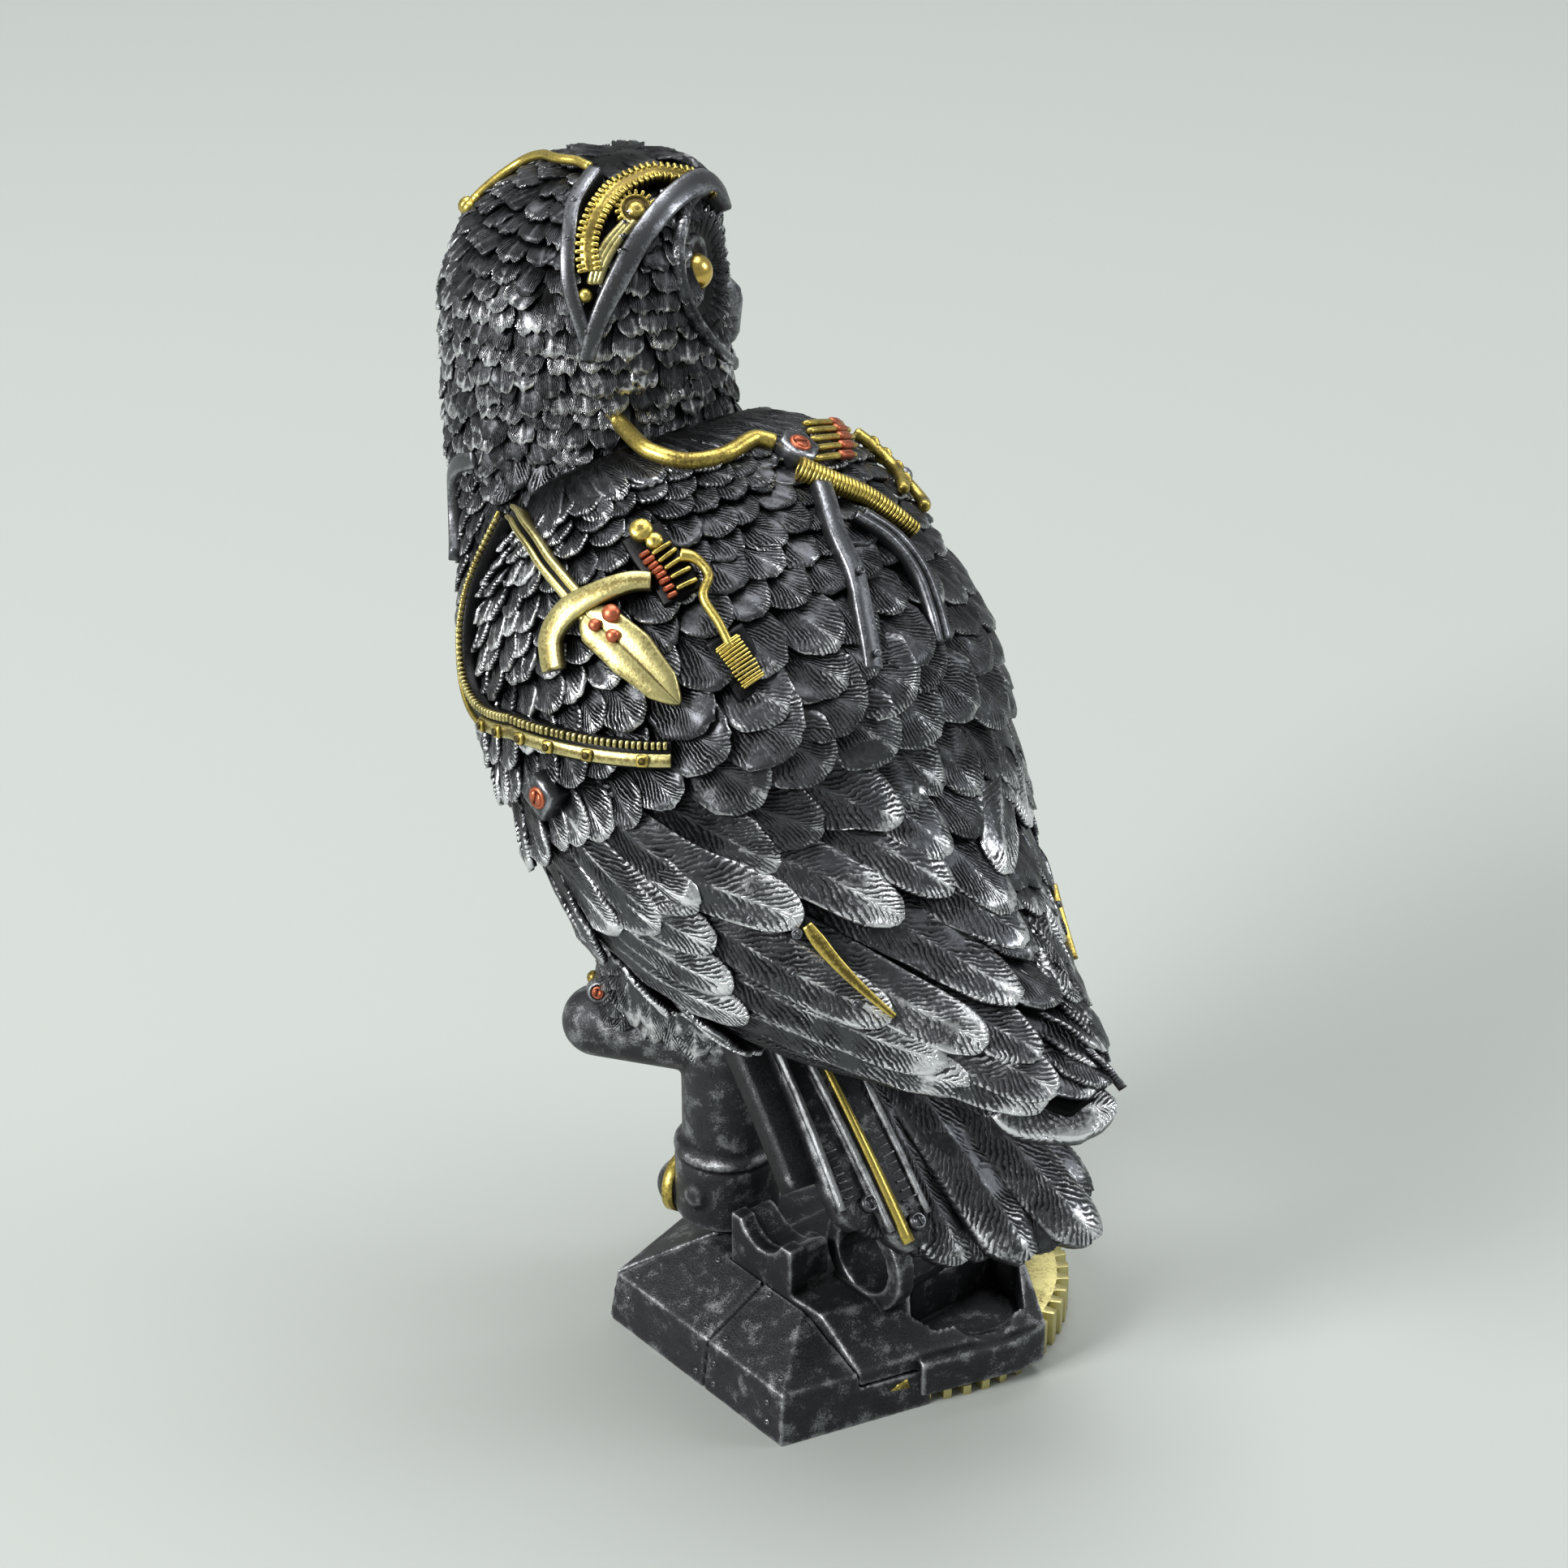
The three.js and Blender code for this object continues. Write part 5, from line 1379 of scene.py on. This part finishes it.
scatter("owl_screws", screw_head(), screws, steel_paint, "dark_metal_paint", "owl")

# %% [markdown]
# ## Perch
# The perch is cast pipe: an upright in a collar, an elbow and two arms. The joins of such castings are softly rounded,
# so the plain bars are melted together by remeshing them as one skin and smoothing it a little. A bevel would need
# clean edges where the bars meet, and there are none.

# %% Melting and edge rub
def melted(name, form, grain, passes):
    """One skin round overlapping shapes, smoothed, with rub on whatever stands out."""
    source = bpy.data.objects.new(name + " rough", form.mesh(name + " rough") if isinstance(form, Form) else form)
    bpy.context.scene.collection.objects.link(source)
    remesh = source.modifiers.new("one skin", "REMESH")
    remesh.mode, remesh.voxel_size = "VOXEL", grain * MM
    smooth = source.modifiers.new("soften", "SMOOTH")
    smooth.factor, smooth.iterations = 0.5, passes
    mesh = bpy.data.meshes.new_from_object(source.evaluated_get(bpy.context.evaluated_depsgraph_get()))
    mesh.name = name
    bpy.data.objects.remove(source)
    return edge_rub(mesh)


def edge_rub(mesh, gain=1.0, base=0.3):
    """Stores how far each point stands above its neighbours as the rub value."""
    count = len(mesh.vertices)
    co = np.empty(count * 3)
    mesh.vertices.foreach_get("co", co)
    co = co.reshape(-1, 3) / MM
    normal = np.empty(count * 3)
    mesh.vertices.foreach_get("normal", normal)
    normal = normal.reshape(-1, 3)
    edges = np.empty(len(mesh.edges) * 2, int)
    mesh.edges.foreach_get("vertices", edges)
    a, b = edges.reshape(-1, 2).T
    bend, near = np.zeros(count), np.zeros(count)
    step = co[b] - co[a]
    size = np.maximum(np.linalg.norm(step, axis=1), 1e-6)
    np.add.at(bend, a, -(step * normal[a]).sum(1) / size)
    np.add.at(bend, b, (step * normal[b]).sum(1) / size)
    np.add.at(near, a, 1)
    np.add.at(near, b, 1)
    bend /= np.maximum(near, 1)
    for _ in range(2):
        total, n = bend.copy(), np.ones(count)
        np.add.at(total, a, bend[b])
        np.add.at(total, b, bend[a])
        np.add.at(n, a, 1)
        np.add.at(n, b, 1)
        bend = total / n
    rub = np.clip(base + gain * bend * 4.0, 0, 1.2)
    if "rub" in mesh.attributes:
        mesh.attributes.remove(mesh.attributes["rub"])
    mesh.attributes.new("rub", "FLOAT", "POINT").data.foreach_set("value", rub)
    mesh.polygons.foreach_set("use_smooth", np.ones(len(mesh.polygons), bool))
    return mesh


print("a coarser grain melts more: the perch has 0.55 mm, the plinth 0.42 mm")

# %% [markdown]
# ## The pipes of the perch
# Upright, collar and arms are turned shapes that overlap. At the side a domed plug with a brass band closes the
# collar, and a small boss with a copper screw sits on the left arm's end.

# %% Perch
perch = Form()
upright = lambda profile: turned(perch, (PIPE[0], PIPE[1], 0), (0, 0, 1), profile, 72)
COLLAR_FOOT = 21
upright([(9.9, COLLAR_FOOT), (9.9, ARM_HEIGHT - 1)])
upright([(11.6, COLLAR_FOOT), (11.6, 36.2), (11.2, 36.6), (11.2, 37.2), (11.9, 37.4), (11.9, 38.6), (11.2, 39.4),
         (10, 40)])
ball(perch, (PIPE[0], PIPE[1], ARM_HEIGHT - 1), 10.0, 1.0, (0, 0, 1), 0.5, 48)
for angle in ARM_ANGLES:
    heading = np.array([math.cos(angle * DEG), math.sin(angle * DEG), 0])
    profile = round_ended(ARM_RADIUS, ARM_LENGTH * 0.6, ARM_LENGTH, 10)
    turned(perch, np.array([PIPE[0], PIPE[1], ARM_HEIGHT]), heading, profile, 48)
PLUG_ANGLE = -66 * DEG
plug_heading = unit(np.array([math.cos(PLUG_ANGLE), math.sin(PLUG_ANGLE), -0.06]))
plug_start = np.array([PIPE[0], PIPE[1], 24.0])
turned(perch, plug_start, plug_heading, round_ended(6.0, 9, 11, 8), 40)
lug = unit(np.array([0.98, 0.2, 0.0]))
turned(perch, np.array([PIPE[0], PIPE[1], 29.3]) + lug * 10.5, lug, [(2.6, -2), (2.6, 1.4), (2.0, 2.0)], 24)
print("melting the perch")
piece("perch", melted("perch", perch, 0.55, 6), cast_paint, "dark_metal_paint", "perch_pipe")
knuckle = np.array([22.3, -43.6, 74.2])
facing = unit(np.array([0.72, 0.5, 0.32]))
boss = ball(Form(), knuckle, 3.6, 1.0, facing, 0.4, 24)
turned(boss, knuckle + facing * 2.8, facing, [(2.3, -1.5, 0.2), (2.3, 0.7, 0.9), (1.8, 1.0, 0.6), (1.6, 0.6, 0.1)], 24)
piece("arm_boss", boss, cast_paint, "dark_metal_paint", "perch_pipe")
boss_screw = [(knuckle + facing * 3.5, facing, (0, 0.2, 1), (1.15, 1.15, 1.1))]
scatter("boss_screw", screw_head(), boss_screw, copper_paint, "copper_paint", "perch_pipe")
pin = ball(Form(), knuckle + (0.6, -2.2, 2.4), 1.6, 1.0, facing, 0.7, 16)
piece("boss_pin", pin, brass_paint, "brass_paint", "perch_pipe")
plug_band = turned(Form(), plug_start + plug_heading * 12.0, plug_heading,
                   [(6.1, -1.5, 0.3), (6.55, -1.2, 0.9), (6.55, 1.2, 0.9), (6.0, 1.5, 0.3)], 40)
piece("plug_band", plug_band, brass_paint, "brass_paint", "perch_pipe")

# %% [markdown]
# ## Plinth, bearing block and wheel
# The base is cast too, but with crisper plates. The plinth and the bearing block are melted like the perch, only
# less, so that the silver finds a soft edge to sit on. The wheel keeps sharp teeth with a narrow bevel.
# In the photo the bed's end face hangs down like an apron and hides all but the lowest part of the teeth,
# so an apron plate is added to the bearing block, and room for it is cut out of the wheel.

# %% Base tools
def bevelled(name, node, width, cutter):
    """A copy of a plain solid with its edges rounded, after another form is cut out of it."""
    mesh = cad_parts[node].data.copy()
    work = bmesh.new()
    work.from_mesh(mesh)
    bmesh.ops.remove_doubles(work, verts=work.verts, dist=1e-6)
    bmesh.ops.dissolve_limit(work, angle_limit=1.0 * DEG, verts=work.verts, edges=work.edges)
    work.to_mesh(mesh)
    work.free()
    source = bpy.data.objects.new(name + " rough", mesh)
    tool = bpy.data.objects.new(name + " cutter", cutter.mesh(name + " cutter"))
    for made in (source, tool):
        bpy.context.scene.collection.objects.link(made)
    room = source.modifiers.new("room", "BOOLEAN")
    room.operation, room.solver, room.object = "DIFFERENCE", "EXACT", tool
    bevel = source.modifiers.new("bevel", "BEVEL")
    bevel.width, bevel.segments, bevel.limit_method = width * MM, 2, "ANGLE"
    bevel.angle_limit = 28 * DEG
    bevel.use_clamp_overlap = True
    made = bpy.data.meshes.new_from_object(source.evaluated_get(bpy.context.evaluated_depsgraph_get()))
    made.name = name
    bpy.data.objects.remove(source)
    bpy.data.objects.remove(tool)
    return edge_rub(made, 1.4, 0.25)


BED_CORNER = np.array([0, 37.5, 0])
BED_ALONG, BED_OUT = np.array([-0.9514, 0.3079, 0]), np.array([0.3079, 0.9514, 0])


def apron(form, inner, outer, low, high, drop):
    """A plate along the bed's end face, from the plinth's rear corner to the bed's far corner."""
    stack = []
    for way, share in ((-1.2, 1.0), (4, 1.0), (12, 1.0), (21, 1.0), (28.4, 0.25)):
        foot = BED_CORNER + BED_ALONG * way
        face = foot + BED_OUT * outer * share
        stack.append([foot + BED_OUT * inner + (0, 0, low), face + (0, 0, low), face + (0, 0, high - drop * share),
                      foot + BED_OUT * inner + (0, 0, high)])
    return rings(form, stack, 0.4)


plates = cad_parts["plinth"].data.copy()
print("melting the plinth")
piece("plinth_plates", melted("plinth_plates", plates, 0.42, 2), cast_paint, "dark_metal_paint", "plinth")
toothed_wheel = bevelled("toothed_wheel", "gear_wheel", 0.25, apron(Form(), -4.5, 5.0, 2.4, 20, 0))
piece("toothed_wheel", toothed_wheel, pale_brass, "brass_paint", "gear_wheel")

# %% [markdown]
# ## Bearing block
# The photo shows the near seat as a heavy block with a shallow hollow on top, so the plain solid gets a saddle
# behind its seat plate. Solid, saddle and apron are gathered in one form and melted together.

# %% Bearing block
SEAT_Y, SEAT_HALF, SEAT_TOP = 2.2, 9.9, 31.0
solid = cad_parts["bearing_block"].data
solid.calc_loop_triangles()
bearing = Form()
bearing.add(np.array([v.co for v in solid.vertices]) / MM, (), [t.vertices[:] for t in solid.loop_triangles], 0.4)
hollow = SEAT_TOP + 1.0 - 4.9 * np.sin(np.linspace(0.25, math.pi - 0.25, 9))
saddle = np.stack([np.zeros(11), SEAT_Y + np.linspace(-SEAT_HALF, SEAT_HALF, 11), [SEAT_TOP, *hollow, SEAT_TOP]], -1)
saddle = np.concatenate([saddle, [[0, SEAT_Y + SEAT_HALF, 22], [0, SEAT_Y - SEAT_HALF, 22]]])
rings(bearing, [saddle + (x, 0, 0) for x in (5.0, 9.0, 12.5)], 0.4)
apron(bearing, -1.5, 2.2, 2.9, 12.7, 1.7)
print("melting the bearing block")
piece("bearing", melted("bearing", bearing, 0.45, 3), cast_paint, "dark_metal_paint", "bearing_block")

# %% [markdown]
# ## Screws of the plinth
# Small slotted screws hold the plates along their seams, and one chip in the rear edge shows a bit of brass.

# %% Plinth screws
SLOPE, SIDE = (0.45, 0, 0.89), (0.99, 0, 0.12)
PLATE_SCREWS = ((29.5, 6.8, 13.2, SLOPE), (29.3, 25.0, 13.3, SLOPE), (17.5, 7.1, 19.2, SLOPE), (29.8, 0.5, 13.1, SLOPE),
                (30.0, -23.2, 13.0, SLOPE), (32.5, 0.4, 8.3, SIDE), (33.1, 0.9, 2.8, SIDE), (32.6, 6.6, 7.8, SIDE),
                (33.1, 6.9, 2.8, SIDE), (32.5, 24.2, 8.0, SIDE), (33.0, 24.8, 3.5, SIDE), (32.6, -23.5, 7.8, SIDE),
                (17.8, -10.0, 19.1, SLOPE))
base_screws = [((x, y, z), up, (0, 1, 0.3), (0.62, 0.62, 0.7)) for x, y, z, up in PLATE_SCREWS]
scatter("base_screws", screw_head(), base_screws, steel_paint, "dark_metal_paint", "plinth")
END_OUT = np.array([0.27, 0.963, 0])
PLINTH_APEX, EDGE_HEIGHT = 37.7, 12
corners = np.array([(x, PLINTH_APEX - 0.2797 * x + 0.13 * (EDGE_HEIGHT - z), z)
                    for x, z in ((8.2, 6.1), (3.9, 5.7), (4.4, 7.9))])
chip = rings(Form(), [corners + END_OUT * lift for lift in (-0.8, 0.35)], 0.8)
piece("gold_chip", chip, brass_paint, "brass_paint", "plinth")

# %% [markdown]
# ## Studio
# The figure stands on pale paper that fills the background. Large soft lamps stand left, right and above.
# The camera was found from the plinth: its equal sides and the round wheel fix where the photo was taken from.

# %% Floor and camera
paper = Paint("pale paper")
paper.drive("Base Color", (0.325, 0.345, 0.33, 1))
paper.drive("Roughness", 0.75)
floor_mesh = bpy.data.meshes.new("floor")
floor_mesh.from_pydata([(-6, -6, 0), (6, -6, 0), (6, 6, 0), (-6, 6, 0)], [], [(0, 1, 2, 3)])
floor_mesh.materials.append(paper.material)
floor = bpy.data.objects.new("floor", floor_mesh)
bpy.context.scene.collection.objects.link(floor)

AZIMUTH, PITCH = 140 * DEG, 28 * DEG
right = Vector((math.cos(AZIMUTH), math.sin(AZIMUTH), 0))
away = Vector((-math.sin(AZIMUTH), math.cos(AZIMUTH), 0))
above = Vector((0, 0, 1))
ahead = away * math.cos(PITCH) - above * math.sin(PITCH)
overhead = away * math.sin(PITCH) + above * math.cos(PITCH)
SENSOR, HALF_VIEW = 36.0, 13 * DEG
CAMERA_PLACE = (0.3973, 0.4646, 0.46)
lens = bpy.data.cameras.new("camera")
lens.sensor_width, lens.lens = SENSOR, SENSOR / 2 / math.tan(HALF_VIEW)
camera = bpy.data.objects.new("camera", lens)
camera.matrix_world = Matrix.Translation(CAMERA_PLACE) @ Matrix((right, overhead, -ahead)).transposed().to_4x4()
bpy.context.scene.collection.objects.link(camera)
bpy.context.scene.camera = camera
print("camera at", CAMERA_PLACE, "m, lens", round(lens.lens, 1), "mm")

# %% [markdown]
# ## Light
# One strong lamp from the left gives each feather a bright side, a weak one opens the shadows on the right,
# and a wide one behind evens out the paper.

# %% Lamps
def lamp(name, place, target, size, power, tint=(1, 1, 1)):
    data = bpy.data.lights.new(name, "AREA")
    data.shape, data.size, data.energy, data.color = "SQUARE", size, power, tint
    made = bpy.data.objects.new(name, data)
    made.location = place
    made.rotation_euler = (Vector(target) - Vector(place)).to_track_quat("-Z", "Y").to_euler()
    bpy.context.scene.collection.objects.link(made)


MIDDLE = (0, -0.02, 0.13)
lamp("left lamp", (2.0, -0.3, 1.3), MIDDLE, 0.8, 74, (1.0, 0.99, 0.97))
lamp("right lamp", (-1.6, 1.2, 1.3), MIDDLE, 0.7, 16, (0.97, 0.99, 1.0))
lamp("back lamp", (-0.5, -0.6, 2.6), (-0.7, -0.9, 0), 2.2, 84)
world = bpy.data.worlds.new("room")
world.use_nodes = True
world.node_tree.nodes["Background"].inputs["Color"].default_value = (0.8, 0.84, 0.82, 1)
world.node_tree.nodes["Background"].inputs["Strength"].default_value = 0.4
bpy.context.scene.world = world
bpy.context.scene.view_settings.view_transform = "Standard"

# %% [markdown]
